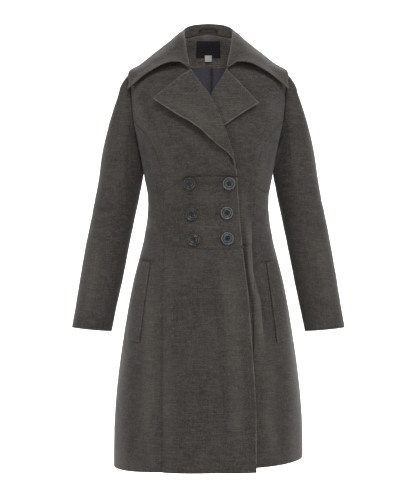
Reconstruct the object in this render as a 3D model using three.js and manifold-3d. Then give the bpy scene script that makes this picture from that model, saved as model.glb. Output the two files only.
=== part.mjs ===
import * as THREE from 'three';
import Module from 'manifold-3d';
import { mergeVertices } from 'three/addons/utils/BufferGeometryUtils.js';

// A double-breasted A-line wool coat, filled out as it is when worn, with nobody in it. Millimetres, +Z up.
// The front faces -Y and the wearer's left is +X. The origin lies between the shoulders, at half the height
// of the shoulder seams, where the wearer holds the coat up.

// Cloth and seams
const clothThickness = 2.2;
const liningThickness = 1;
const seamGap = 0.3;
const degree = Math.PI / 180;

// Outline of the body of the coat, from the neck to the hem: half of its width, and how far the front and
// the back reach from the plane between them
const bodyMiddle = 5;
const squareness = 0.035;
const body = [
  { z: 75, halfWidth: 36, front: 12, back: 58 },
  { z: 55, halfWidth: 46, front: 20, back: 67 },
  { z: 38, halfWidth: 66, front: 32, back: 77 },
  { z: 22, halfWidth: 82, front: 44, back: 86 },
  { z: 5, halfWidth: 101, front: 53, back: 93 },
  { z: -22, halfWidth: 135, front: 62, back: 101 },
  { z: -37, halfWidth: 157, front: 68, back: 105 },
  { z: -45, halfWidth: 170, front: 72, back: 107 },
  { z: -55, halfWidth: 182, front: 77, back: 110 },
  { z: -70, halfWidth: 188, front: 84, back: 114 },
  { z: -100, halfWidth: 189, front: 97, back: 120 },
  { z: -140, halfWidth: 187, front: 112, back: 123 },
  { z: -176, halfWidth: 181, front: 124, back: 123 },
  { z: -200, halfWidth: 170, front: 130, back: 121 },
  { z: -225, halfWidth: 160, front: 133, back: 119 },
  { z: -250, halfWidth: 155, front: 133, back: 116 },
  { z: -281, halfWidth: 152, front: 131, back: 111 },
  { z: -315, halfWidth: 146.5, front: 126, back: 103 },
  { z: -345, halfWidth: 141.5, front: 121, back: 94 },
  { z: -380, halfWidth: 143, front: 117, back: 88 },
  { z: -409, halfWidth: 146, front: 118, back: 90 },
  { z: -440, halfWidth: 151, front: 121, back: 97 },
  { z: -486, halfWidth: 162, front: 128, back: 110 },
  { z: -563, halfWidth: 179, front: 139, back: 128 },
  { z: -663, halfWidth: 196, front: 149, back: 142 },
  { z: -760, halfWidth: 210, front: 157, back: 151 },
  { z: -851, halfWidth: 218, front: 163, back: 157 },
  { z: -970, halfWidth: 222, front: 169, back: 162 },
  { z: -1000, halfWidth: 223, front: 170, back: 163 },
];
const bust = { x: 78, z: -222, forward: 14, width: 44, height: 56 };

// Largest folds of the skirt: where each starts and ends, by angle round the body from the centre front
const folds = [
  { topAngle: -2, hemAngle: 5, from: -500, full: -620, height: -5, width: 15 },
  { topAngle: -14, hemAngle: -12, from: -560, full: -800, height: 3, width: 17 },
  { topAngle: -38, hemAngle: -34, from: -420, full: -700, height: 4, width: 14 },
  { topAngle: 38, hemAngle: 34, from: -420, full: -700, height: 4, width: 14 },
  { topAngle: -62, hemAngle: -60, from: -640, full: -900, height: -4, width: 20 },
  { topAngle: 60, hemAngle: 62, from: -620, full: -900, height: -4, width: 22 },
  { topAngle: 112, hemAngle: 118, from: -520, full: -860, height: 5, width: 20 },
  { topAngle: -114, hemAngle: -120, from: -540, full: -880, height: 5, width: 20 },
  { topAngle: 148, hemAngle: 146, from: -480, full: -820, height: -6, width: 20 },
  { topAngle: -146, hemAngle: -148, from: -500, full: -840, height: -6, width: 20 },
  { topAngle: 168, hemAngle: 164, from: -470, full: -800, height: 5, width: 18 },
  { topAngle: -167, hemAngle: -165, from: -470, full: -820, height: 5, width: 18 },
];

// Levels that the rows of every panel share, so that the seams of two neighbours run side by side
const hemLevel = -958;
const hemTilt = 11;
const rightHemDrop = 5.5;
const waistLevel = -450;
const empireLevel = -332;
const neckLevel = 38;
const backNeckRise = 17;
const seamFade = 110;
const armhole = { middle: -135, halfHeight: 90, frontAngle: 22, backAngle: 26, turn: 18 };
const underarmLevel = armhole.middle - armhole.halfHeight;
const shoulderLevel = armhole.middle + armhole.halfHeight;
const princessTurn = 6 * armhole.turn;
const princessTop = armhole.middle + armhole.halfHeight * Math.cos(princessTurn * degree);
const sidePanelTop = princessTop - 1.7;

// Seams by height, as the distance x from the centre
const frontPrincess = [
  { z: princessTop, x: 174.3 },
  { z: -180, x: 160 },
  { z: -195, x: 145 },
  { z: -223, x: 127.6 },
  { z: -250, x: 116 },
  { z: -276, x: 109 },
  { z: -306, x: 105 },
  { z: -332, x: 102.4 },
  { z: -395, x: 101 },
  { z: -635, x: 103.5 },
  { z: -970, x: 104 },
];
const backPrincess = [
  { z: princessTop, x: 170.6 },
  { z: -180, x: 150 },
  { z: -205, x: 131 },
  { z: -240, x: 114 },
  { z: -290, x: 98 },
  { z: -350, x: 88 },
  { z: -450, x: 93 },
  { z: -600, x: 107 },
  { z: -970, x: 130 },
];
const neckline = [
  { z: 38, x: 65 },
  { z: 22, x: 60 },
  { z: 0, x: 55 },
  { z: -22, x: 51 },
  { z: -47, x: 48 },
];

// Front edges by height: how far each front reaches past the centre, along its roll line and then down
const breakLevel = -279;
const rightEdge = [
  { z: -47, x: -41 },
  { z: -70, x: -26.6 },
  { z: -94.5, x: -9 },
  { z: -113, x: 2.3 },
  { z: -141, x: 16.8 },
  { z: -173, x: 30.6 },
  { z: -210, x: 44.5 },
  { z: -245, x: 55.5 },
  { z: -279, x: 63 },
  { z: -333, x: 67 },
  { z: -418, x: 73 },
  { z: -486, x: 80 },
  { z: -558, x: 90 },
  { z: -664, x: 97 },
  { z: -760, x: 104.5 },
  { z: -844, x: 108 },
  { z: -970, x: 108 },
];
const leftEdge = [
  { z: -47, x: -42 },
  { z: -69, x: -31 },
  { z: -91, x: -17 },
  { z: -106, x: -8 },
  { z: -140, x: 10 },
  { z: -185, x: 31 },
  { z: -250, x: 54 },
  { z: -279, x: 60 },
  { z: -333, x: 62 },
  { z: -480, x: 66 },
  { z: -970, x: 70 },
];

// Seams across the fronts, by distance x from the centre towards the panel's own side
const rightEmpire = [
  { x: -70, z: -296 },
  { x: 10, z: -295 },
  { x: 35, z: -297 },
  { x: 60, z: -306 },
  { x: 75, z: -314 },
  { x: 93, z: -325 },
  { x: 103, z: -331 },
  { x: 150, z: -333 },
];
const leftEmpire = [
  { x: -70, z: -296 },
  { x: 50, z: -296 },
  { x: 68, z: -299 },
  { x: 83, z: -304 },
  { x: 101, z: -315 },
  { x: 114, z: -324 },
  { x: 129, z: -331 },
  { x: 150, z: -333 },
];
const waistSeam = [
  { x: -90, z: -455 },
  { x: -17, z: -463 },
  { x: 14, z: -461.5 },
  { x: 50, z: -458 },
  { x: 70, z: -457 },
  { x: 92, z: -453 },
  { x: 104, z: -450 },
];

// Lapels: the free edge from the point down to the break, by distance x towards the lapel's own side
const lapelFold = { inset: 7.3, ramp: 14, radius: 2.4, bottom: -264, rows: 12 };
const lapelParts = [0.12, 0.3, 0.5, 0.75, 1];
const rightLapelEdge = [
  { x: 120.4, z: -123 },
  { x: 85, z: -152 },
  { x: 15.6, z: -200 },
  { x: -30.4, z: -233 },
  { x: -43, z: -248 },
  { x: -50, z: -270 },
];
const leftLapelEdge = [
  { x: 111.5, z: -132 },
  { x: 75, z: -156 },
  { x: 35.4, z: -183 },
  { x: 0, z: -208 },
  { x: -33, z: -240 },
  { x: -46, z: -268 },
];

// How the right front rises to lie over the left one, and further over the left lapel: the rise, where it
// starts and over what distance it grows
const overlap = { lift: 3.2, outside: 150, beside: 2, ramp: 26, top: -60, topRamp: 50 };
const overLapel = { lift: 6.2, beside: 36, ramp: 25, bottom: -300, bottomRamp: 16, top: -70, topRamp: 25 };

// Sleeve: its middle line and half widths below the sleeve head, and where its two seams run
const sleeve = [
  { z: -284, x: 204, y: 6, halfWidth: 50.6, halfDepth: 60 },
  { z: -300, x: 206.5, y: 6, halfWidth: 49.5, halfDepth: 59 },
  { z: -345, x: 215.4, y: 6, halfWidth: 49.5, halfDepth: 57 },
  { z: -405, x: 227.5, y: 4, halfWidth: 49, halfDepth: 55.5 },
  { z: -486, x: 242.7, y: -3, halfWidth: 49, halfDepth: 54 },
  { z: -565, x: 256.7, y: -16, halfWidth: 47, halfDepth: 51 },
  { z: -647, x: 271, y: -32, halfWidth: 45.5, halfDepth: 47 },
];
const sleeveHead = { spring: 0.05, least: 0.31, underarm: 0.5, rise: 0.17, forward: 0.6, fall: 0.88 };
const sleeveSeamTurn = 6 * armhole.turn;
const sleeveRows = { head: [0, 0.06, 0.14, 0.26, 0.4, 0.56, 0.74, 0.88, 1], below: 8 };

// Collar, half of it from the centre back to the point: its fold and its free edge, then how far the fall
// swells upwards and forward of a straight line between them, and how round the fold is
const collarLines = [
  { share: 0, foldX: 0, foldY: 76, foldZ: 81.7, edgeX: 0, edgeY: 119, edgeZ: -47 },
  { share: 0.14, foldX: 26, foldY: 70, foldZ: 79, edgeX: 62, edgeY: 114, edgeZ: -47 },
  { share: 0.28, foldX: 46, foldY: 54, foldZ: 71, edgeX: 115, edgeY: 92, edgeZ: -46 },
  { share: 0.42, foldX: 55, foldY: 30, foldZ: 60, edgeX: 153, edgeY: 52, edgeZ: -42 },
  { share: 0.56, foldX: 57, foldY: 0, foldZ: 50, edgeX: 170, edgeY: 8, edgeZ: -40 },
  { share: 0.7, foldX: 56, foldY: -36, foldZ: 24, edgeX: 176, edgeY: -20, edgeZ: -56 },
  { share: 0.85, foldX: 52, foldY: -55, foldZ: -8, edgeX: 181, edgeY: -39, edgeZ: -73 },
  { share: 1, foldX: 44, foldY: -68.5, foldZ: -41, edgeX: 186, edgeY: -52, edgeZ: -91 },
];
const collarFall = [
  { share: 0.56, swell: 4, forward: 0, roll: 1 },
  { share: 0.7, swell: 9, forward: 3, roll: 0.9 },
  { share: 0.85, swell: 17, forward: 6, roll: 0.7 },
  { share: 1, swell: 26, forward: 9, roll: 0.4 },
];
const collar = {
  columns: 36,
  rollDepth: 6,
  rollDrop: 5,
  rollRise: 1.4,
  rollReach: 4,
  standDrop: 5,
  standIn: 0.6,
  seamGap: 0.6,
  clearance: 5.6,
};
const fallParts = [0.12, 0.26, 0.4, 0.55, 0.7, 0.85, 1];

// Inside of the back neck
const facing = { fromAngle: 104, levels: [-24, -8, 8, 24, 35], thickness: 1.2, lift: -3.1 };
const lining = { fromAngle: 104, top: -25, bottom: -330, lift: -4.4, pleatDepth: 3, pleatWidth: 5 };
const label = { width: 62, bottom: 3, top: 41, thickness: 0.8, lift: -5 };
const sizeTag = { width: 17, bottom: -7, top: 8, thickness: 0.6, lift: -6.3 };
const hangerLoop = { halfWidth: 22, y: 68.2, z: 58, rise: 9, depth: 1.6, height: 5 };

// Pocket welts, on the side fronts
const welt = { top: -494, bottom: -673, topX: 132, bottomX: 155, width: 45, drop: 6, lift: 2.6 };

// Buttons: two columns of three. Each stands a little off the cloth, on its thread
const button = { radius: 14.5, height: 4.6, rim: 2.6, dish: 1.2, well: 6.2, hole: 1.1, holeSpread: 2.5 };
const buttons = [
  { name: 'button_right_top', x: -42.5, z: -311, stand: 1.1 },
  { name: 'button_right_middle', x: -37, z: -381.6, stand: 1.5 },
  { name: 'button_right_bottom', x: -32.5, z: -440.4, stand: 0.9 },
  { name: 'button_left_top', x: 46, z: -311, stand: 1.3 },
  { name: 'button_left_middle', x: 41, z: -379, stand: 1.5 },
  { name: 'button_left_bottom', x: 42.5, z: -438, stand: 0.9 },
];

const wool = new THREE.MeshStandardMaterial({ color: 0x47433e, roughness: 0.95, metalness: 0 });
const satin = new THREE.MeshStandardMaterial({ color: 0x3a3a43, roughness: 0.45, metalness: 0 });
const horn = new THREE.MeshStandardMaterial({ color: 0x25272c, roughness: 0.35, metalness: 0 });
const labelCloth = new THREE.MeshStandardMaterial({ color: 0x1b1b20, roughness: 0.7, metalness: 0 });
const tagCloth = new THREE.MeshStandardMaterial({ color: 0xd9d9d6, roughness: 0.8, metalness: 0 });

const coat = new THREE.Group();
const wasm = await Module();
wasm.setup();

const mix = (a, b, share) => a + (b - a) * share;
const within = (value, low, high) => Math.min(Math.max(value, low), high);
const ease = (value) => within(value, 0, 1) ** 2 * (3 - 2 * within(value, 0, 1));
const bell = (distance, width) => Math.exp(-0.5 * (distance / width) ** 2);
const spread = (from, to, count) => Array.from({ length: count + 1 }, (_, i) => mix(from, to, i / count));

// A column of a table at one value of its key, on a smooth curve that doesn't overshoot the rows
function lookUp(table, key, column, at) {
  const last = table.length - 1;
  const way = Math.sign(table[last][key] - table[0][key]);
  const place = within(at * way, table[0][key] * way, table[last][key] * way) * way;
  let i = 0;
  while (i < last - 1 && (place - table[i + 1][key]) * way > 0) i += 1;
  const step = (k) => table[k + 1][key] - table[k][key];
  const rise = (k) => (table[k + 1][column] - table[k][column]) / step(k);
  const slope = (k) => {
    if (k === 0) return rise(0);
    if (k === last) return rise(last - 1);
    const before = rise(k - 1);
    const after = rise(k);
    return before * after > 0 ? (2 * before * after) / (before + after) : 0;
  };
  const t = (place - table[i][key]) / step(i);
  const bend = t * t * (3 - 2 * t);
  const start = t * (1 - t) ** 2 * step(i) * slope(i);
  const end = t * t * (t - 1) * step(i) * slope(i + 1);
  return mix(table[i][column], table[i + 1][column], bend) + start + end;
}

// The outer surface of the body at an angle from the centre front, which grows towards the wearer's left
function bodyPoint(angle, z) {
  const halfWidth = lookUp(body, 'z', 'halfWidth', z);
  const reach = lookUp(body, 'z', Math.cos(angle) > 0 ? 'front' : 'back', z);
  const across = (Math.sin(angle) + squareness * Math.sin(3 * angle)) / (1 - squareness);
  const ahead = (Math.cos(angle) - squareness * Math.cos(3 * angle)) / (1 - squareness);
  const x = halfWidth * across;
  const cup = bell(Math.abs(x) - bust.x, bust.width) * bell(z - bust.z, bust.height) * bust.forward;
  const y = bodyMiddle - reach * ahead - (ahead > 0 ? cup * ease(ahead * 2) : 0);
  const fold = foldHeight(angle, z, halfWidth);
  return new THREE.Vector3(x + fold * Math.sin(angle), y - fold * Math.cos(angle), z);
}

function foldHeight(angle, z, halfWidth) {
  let height = 0;
  for (const fold of folds) {
    const down = (fold.from - z) / (fold.from - fold.full);
    if (down <= 0) continue;
    const middle = mix(fold.topAngle, fold.hemAngle, (fold.from - z) / (fold.from - hemLevel)) * degree;
    const away = Math.atan2(Math.sin(angle - middle), Math.cos(angle - middle)) * halfWidth;
    height += fold.height * ease(down) * bell(away, fold.width);
  }
  return height;
}

function bodyNormal(angle, z) {
  const step = 0.4;
  const turn = 0.004;
  const round = bodyPoint(angle + turn, z).sub(bodyPoint(angle - turn, z));
  const up = bodyPoint(angle, z + step).sub(bodyPoint(angle, z - step));
  return round.cross(up).normalize();
}

// The angle at which the body is x from the centre, on the front or the back
function angleAt(x, z, behind = false) {
  const share = Math.abs(x) / lookUp(body, 'z', 'halfWidth', z);
  let low = 0;
  let high = 90 * degree;
  for (let i = 0; i < 40; i += 1) {
    const angle = (low + high) / 2;
    const across = (Math.sin(angle) + squareness * Math.sin(3 * angle)) / (1 - squareness);
    if (across < share) low = angle;
    else high = angle;
  }
  const angle = behind ? 180 * degree - low : low;
  return x < 0 ? -angle : angle;
}

// How far an angle turns for a distance along the cloth
function turnFor(distance, angle, z) {
  const step = 0.002;
  return (distance * 2 * step) / bodyPoint(angle + step, z).distanceTo(bodyPoint(angle - step, z));
}

// How far the body reaches from its middle in a direction, at a height
function bodyReach(direction, z) {
  let angle = direction;
  let point = bodyPoint(angle, z);
  for (let pass = 0; pass < 24; pass += 1) {
    const off = direction - Math.atan2(point.x, bodyMiddle - point.y);
    angle += 0.6 * Math.atan2(Math.sin(off), Math.cos(off));
    point = bodyPoint(angle, z);
  }
  return Math.hypot(point.x, point.y - bodyMiddle);
}

// Moves a point that lies nearer to the body than the clearance straight out to it
function keepClear(point, clearance) {
  const direction = Math.atan2(point.x, bodyMiddle - point.y);
  const step = 2;
  const away = Math.hypot(point.x, point.y - bodyMiddle) - bodyReach(direction, point.z);
  const slope = (bodyReach(direction, point.z + step) - bodyReach(direction, point.z - step)) / (2 * step);
  const steep = Math.hypot(1, slope);
  const short = Math.max(clearance - away / steep, 0);
  const out = new THREE.Vector3(Math.sin(direction), -Math.cos(direction), -slope).divideScalar(steep);
  return point.clone().addScaledVector(out, short);
}

const hemHeight = (angle) => hemLevel + hemTilt * Math.sin(angle);

function backNeckHeight(angle) {
  const behind = Math.max(Math.abs(angle) - 90 * degree, 0);
  return neckLevel + backNeckRise * Math.sin(behind) ** 2;
}

// The height of a level at an angle: the hem tilts and the back neck rises
function heightOf(level, angle) {
  if (level < empireLevel) {
    return mix(empireLevel, hemHeight(angle), (level - empireLevel) / (hemLevel - empireLevel));
  }
  if (level > shoulderLevel) {
    return mix(shoulderLevel, backNeckHeight(angle), (level - shoulderLevel) / (neckLevel - shoulderLevel));
  }
  return level;
}

function armholeTurn(z) {
  return Math.acos(within((z - armhole.middle) / armhole.halfHeight, -1, 1));
}
const frontArmhole = (z) => (90 - armhole.frontAngle * Math.sin(armholeTurn(z))) * degree;
const backArmhole = (z) => (90 + armhole.backAngle * Math.sin(armholeTurn(z))) * degree;

// The princess seams start on the armholes
frontPrincess[0].x = bodyPoint(frontArmhole(princessTop), princessTop).x;
backPrincess[0].x = bodyPoint(backArmhole(princessTop), princessTop).x;

const armholeLevels = Array.from({ length: 180 / armhole.turn + 1 }, (_, i) => {
  return armhole.middle - armhole.halfHeight * Math.cos(i * armhole.turn * degree);
});
const sideTopLevels = [...armholeLevels.filter((z) => z < sidePanelTop), sidePanelTop];
const skirtLevels = spread(hemLevel, waistLevel, 9);
const midriffLevels = spread(waistLevel, empireLevel, 4);
const bustLevels = spread(empireLevel, underarmLevel, 5);
const shoulderLevels = [shoulderLevel, -32, -18, -3, 12, 26, neckLevel];
const join = (...lists) => lists.reduce((all, list) => all.concat(list.slice(1)), [lists[0][0]]);

// A closed body from two grids of points, one each side of the cloth
function closeWall(outer, inner) {
  const rows = outer.length;
  const columns = outer[0].length;
  const positions = [...outer.flat(), ...inner.flat()].flatMap((p) => [p.x, p.y, p.z]);
  const at = (side, i, j) => side * rows * columns + i * columns + j;
  const faces = [];
  const quad = (a, b, c, d) => faces.push(a, b, c, a, c, d);
  for (let i = 0; i < rows - 1; i += 1) {
    for (let j = 0; j < columns - 1; j += 1) {
      quad(at(0, i, j), at(0, i, j + 1), at(0, i + 1, j + 1), at(0, i + 1, j));
      quad(at(1, i, j), at(1, i + 1, j), at(1, i + 1, j + 1), at(1, i, j + 1));
    }
  }
  for (let j = 0; j < columns - 1; j += 1) {
    quad(at(0, 0, j + 1), at(0, 0, j), at(1, 0, j), at(1, 0, j + 1));
    quad(at(0, rows - 1, j), at(0, rows - 1, j + 1), at(1, rows - 1, j + 1), at(1, rows - 1, j));
  }
  for (let i = 0; i < rows - 1; i += 1) {
    quad(at(0, i, 0), at(0, i + 1, 0), at(1, i + 1, 0), at(1, i, 0));
    quad(at(0, i + 1, columns - 1), at(0, i, columns - 1), at(1, i, columns - 1), at(1, i + 1, columns - 1));
  }
  return outwards(positions, faces);
}

// A geometry with its faces turned outwards
function outwards(positions, faces) {
  const corner = (k) => new THREE.Vector3().fromArray(positions, 3 * faces[k]);
  let volume = 0;
  for (let k = 0; k < faces.length; k += 3) volume += corner(k).dot(corner(k + 1).cross(corner(k + 2)));
  if (volume < 0) {
    for (let k = 0; k < faces.length; k += 3) [faces[k + 1], faces[k + 2]] = [faces[k + 2], faces[k + 1]];
  }
  const geometry = new THREE.BufferGeometry();
  geometry.setAttribute('position', new THREE.Float32BufferAttribute(positions, 3));
  geometry.setIndex(faces);
  geometry.computeVertexNormals();
  return geometry;
}

// Thickens a grid of points along its own normals, by out on one side and by back on the other. Spare columns
// at its two sides only steer the normals
function thicken(grid, out, back, spare = 0) {
  const rows = grid.length;
  const columns = grid[0].length;
  const normal = (i, j) => {
    const along = grid[i][Math.min(j + 1, columns - 1)].clone().sub(grid[i][Math.max(j - 1, 0)]);
    const up = grid[Math.min(i + 1, rows - 1)][j].clone().sub(grid[Math.max(i - 1, 0)][j]);
    return along.cross(up).normalize();
  };
  const moved = (by) => grid.map((row, i) => {
    return row.map((p, j) => p.clone().addScaledVector(normal(i, j), by)).slice(spare, columns - spare);
  });
  return closeWall(moved(out), moved(-back));
}

function addMesh(name, geometry, material) {
  const mesh = new THREE.Mesh(geometry, material);
  mesh.name = name;
  coat.add(mesh);
  return mesh;
}

// Cloth on the body's surface: places is a grid of angles and heights, lift is how far out each point lies
function layOnBody(places, liftOf, thickness) {
  const move = (extra) => places.map((row) => row.map(({ angle, z, own }) => {
    return bodyPoint(angle, z).addScaledVector(bodyNormal(angle, z), liftOf(own, z) + extra);
  }));
  return closeWall(move(0), move(-thickness));
}

// The places of one panel. Its angles grow from the seam first to the seam second, on the panel's own side of
// the body. Its rows lie on levels, and bottomSeam and topSeam bend the rows at its two ends.
function panelPlaces({ sign, first, second, levels, columns, bottomSeam, topSeam, gap = seamGap / 2 }) {
  const lowest = levels[0];
  const highest = levels[levels.length - 1];
  return levels.map((level, i) => spread(0, 1, columns).map((share) => {
    let z = level;
    let own = 0;
    for (let pass = 0; pass < 4; pass += 1) {
      const from = first(z) + turnFor(gap, first(z), z);
      const to = second(z) - turnFor(gap, second(z), z);
      const angle = mix(from, to, share);
      const x = bodyPoint(angle, z).x;
      own = angle;
      z = heightOf(level, sign * angle);
      if (bottomSeam) {
        z += (bottomSeam(x) - heightOf(lowest, sign * angle)) * within(1 - (level - lowest) / seamFade, 0, 1);
      }
      if (topSeam) {
        z += (topSeam(x) - heightOf(highest, sign * angle)) * within(1 - (highest - level) / seamFade, 0, 1);
      }
    }
    if (i === 0) z += gap;
    if (i === levels.length - 1) z -= gap;
    return { angle: sign * own, z, own: bodyPoint(own, z).x };
  }));
}

const flat = () => 0;

// How far the right front lies out
function rightLift(own, z) {
  const seam = z < princessTop ? lookUp(frontPrincess, 'z', 'x', z) : overlap.outside;
  const outside = Math.min(seam, overlap.outside) - overlap.beside;
  const overFront = ease((outside - own) / overlap.ramp) * ease((overlap.top - z) / overlap.topRamp);
  const roll = -lookUp(leftEdge, 'z', 'x', z);
  const past = ease((overLapel.beside - own - roll) / overLapel.ramp);
  const upper = ease((z - overLapel.bottom) / overLapel.bottomRamp);
  const lower = ease((overLapel.top - z) / overLapel.topRamp);
  return overlap.lift * overFront + overLapel.lift * past * upper * lower;
}

const fronts = [
  {
    side: 'right',
    sign: -1,
    edge: rightEdge,
    empire: rightEmpire,
    lapel: rightLapelEdge,
    standOff: { high: 8.5, low: 4.4, from: 0.55, over: 0.4 },
    lift: rightLift,
  },
  {
    side: 'left',
    sign: 1,
    edge: leftEdge,
    empire: leftEmpire,
    lapel: leftLapelEdge,
    standOff: { high: 7, low: 3.6, from: 0, over: 0.25 },
    lift: flat,
  },
];

// The front edge of a front, as an angle on its own side: the neckline, the roll line, then the edge
function frontEdgeAngle(edge, z) {
  if (z >= edge[0].z) return angleAt(lookUp(neckline, 'z', 'x', z), z);
  const inset = lapelFold.inset * ease((z - breakLevel) / lapelFold.ramp);
  return angleAt(inset - lookUp(edge, 'z', 'x', z), z);
}

// The side panels end just below the start of the princess seams. Their two edges run straight there
const levelBelowStart = armhole.middle + armhole.halfHeight * Math.cos((princessTurn + armhole.turn) * degree);

function straightTop(angleOf, z) {
  if (z <= levelBelowStart || z >= princessTop) return angleOf(z);
  const share = (z - levelBelowStart) / (princessTop - levelBelowStart);
  return mix(angleOf(levelBelowStart), angleOf(princessTop), share);
}
const princessAngle = (seam, z, behind) => angleAt(lookUp(seam, 'z', 'x', z), z, behind);
const frontPrincessAngle = (z) => straightTop((at) => princessAngle(frontPrincess, at, false), z);
const backPrincessAngle = (z) => straightTop((at) => princessAngle(backPrincess, at, true), z);
const sideSeam = () => 90 * degree;

function outerFrontSeam(z) {
  if (z >= shoulderLevel) return sideSeam();
  return z >= princessTop ? frontArmhole(z) : frontPrincessAngle(z);
}

function innerBackSeam(z) {
  if (z >= shoulderLevel) return sideSeam();
  return z >= princessTop ? backArmhole(z) : backPrincessAngle(z);
}

function addFronts() {
  for (const { side, sign, edge, empire, lift } of fronts) {
    const centre = { sign, first: (z) => frontEdgeAngle(edge, z), columns: 10 };
    const empireSeam = (x) => lookUp(empire, 'x', 'z', x);
    const waist = (x) => lookUp(waistSeam, 'x', 'z', x);
    const bodice = {
      ...centre,
      second: outerFrontSeam,
      levels: join(bustLevels, armholeLevels, shoulderLevels),
      bottomSeam: empireSeam,
    };
    const midriff = {
      ...centre,
      second: frontPrincessAngle,
      levels: midriffLevels,
      bottomSeam: waist,
      topSeam: empireSeam,
    };
    const skirt = { ...centre, second: frontPrincessAngle, levels: skirtLevels, topSeam: waist };
    if (side === 'right') skirt.bottomSeam = () => hemLevel - rightHemDrop;
    addMesh(`front_bodice_${side}`, layOnBody(panelPlaces(bodice), lift, clothThickness), wool);
    addMesh(`midriff_${side}`, layOnBody(panelPlaces(midriff), lift, clothThickness), wool);
    addMesh(`skirt_front_${side}`, layOnBody(panelPlaces(skirt), lift, clothThickness), wool);

    const sideBodice = {
      sign,
      first: frontPrincessAngle,
      second: (z) => (z > underarmLevel ? straightTop(frontArmhole, z) : sideSeam()),
      bottomSeam: empireSeam,
      levels: join(bustLevels, sideTopLevels),
      columns: 5,
    };
    const sideSkirt = {
      sign,
      first: frontPrincessAngle,
      second: sideSeam,
      topSeam: empireSeam,
      levels: join(skirtLevels, midriffLevels),
      columns: 5,
    };
    addMesh(`side_bodice_${side}`, layOnBody(panelPlaces(sideBodice), flat, clothThickness), wool);
    addMesh(`skirt_side_${side}`, layOnBody(panelPlaces(sideSkirt), flat, clothThickness), wool);
  }
}

function addBacks() {
  for (const { side, sign } of fronts) {
    const centreBack = {
      sign,
      first: innerBackSeam,
      second: () => 180 * degree,
      levels: join(skirtLevels, midriffLevels, bustLevels, armholeLevels, shoulderLevels),
      columns: 7,
    };
    const sideBack = {
      sign,
      first: (z) => (z > underarmLevel ? straightTop(backArmhole, z) : sideSeam()),
      second: backPrincessAngle,
      levels: join(skirtLevels, midriffLevels, bustLevels, sideTopLevels),
      columns: 5,
    };
    addMesh(`back_${side}`, layOnBody(panelPlaces(centreBack), flat, clothThickness), wool);
    addMesh(`side_back_${side}`, layOnBody(panelPlaces(sideBack), flat, clothThickness), wool);
  }
}

// A point of the armhole. The turn is 0 at the shoulder, 90 degrees at the front and 180 under the arm
function armholePoint(turn) {
  const z = armhole.middle + armhole.halfHeight * Math.cos(turn);
  const reach = Math.sin(turn) > 0 ? armhole.frontAngle : armhole.backAngle;
  return bodyPoint((90 - reach * Math.sin(turn)) * degree, z);
}

// A point of the sleeve below its head, on a ring square to the middle line
function sleeveRing(turn, z) {
  const middle = (at) => new THREE.Vector3(lookUp(sleeve, 'z', 'x', at), lookUp(sleeve, 'z', 'y', at), at);
  const down = middle(z - 4).sub(middle(z + 4)).normalize();
  const across = new THREE.Vector3(-down.z, 0, down.x).normalize();
  const ahead = down.clone().cross(across).normalize();
  const halfWidth = lookUp(sleeve, 'z', 'halfWidth', z);
  const halfDepth = lookUp(sleeve, 'z', 'halfDepth', z);
  const point = middle(z).addScaledVector(across, halfWidth * Math.cos(turn));
  return { point: point.addScaledVector(ahead, halfDepth * Math.sin(turn)), down };
}

function sleevePoint(turn, row) {
  const top = sleeve[0].z;
  if (row > 1) {
    const bottom = sleeve[sleeve.length - 1].z;
    return sleeveRing(turn, mix(top, bottom, row - 1)).point;
  }
  const start = armholePoint(turn);
  const { point: end, down } = sleeveRing(turn, top);
  const length = start.distanceTo(end);
  const low = (1 - Math.cos(turn)) / 2;
  const leave = new THREE.Vector3(1, -sleeveHead.forward * Math.sin(turn), mix(sleeveHead.rise, 0.15, low));
  leave.normalize();
  start.addScaledVector(leave, 2.6 * seamGap);
  start.z += seamGap * 2 * low;
  const spring = sleeveHead.least + sleeveHead.spring * (1 - low) ** 2 + sleeveHead.underarm * low ** 4;
  leave.multiplyScalar(length * spring);
  const fall = down.clone().multiplyScalar(length * sleeveHead.fall);
  const t = row;
  const point = start.multiplyScalar(1 - t * t * (3 - 2 * t));
  point.addScaledVector(end, t * t * (3 - 2 * t));
  point.addScaledVector(leave, t * (1 - t) ** 2);
  return point.addScaledVector(fall, t * t * (t - 1));
}

function addSleeves() {
  const rows = [...sleeveRows.head, ...spread(1, 2, sleeveRows.below).slice(1)];
  const parts = [
    { name: 'sleeve_top', from: -sleeveSeamTurn, to: sleeveSeamTurn },
    { name: 'sleeve_under', from: sleeveSeamTurn, to: 360 - sleeveSeamTurn },
  ];
  for (const { side, sign } of fronts) {
    for (const { name, from, to } of parts) {
      const inner = spread(from, to, Math.round((to - from) / armhole.turn));
      const seamTurn = 0.2;
      inner[0] += seamTurn;
      inner[inner.length - 1] -= seamTurn;
      const turns = [from - armhole.turn, ...inner, to + armhole.turn];
      const grid = rows.map((row) => turns.map((turn) => {
        const point = sleevePoint(turn * degree, row);
        return new THREE.Vector3(sign * point.x, point.y, point.z);
      }));
      const inwards = sign > 0 ? [clothThickness, 0] : [0, clothThickness];
      addMesh(`${name}_${side}`, thicken(grid, inwards[0], inwards[1], 1), wool);
    }
  }
}

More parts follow.
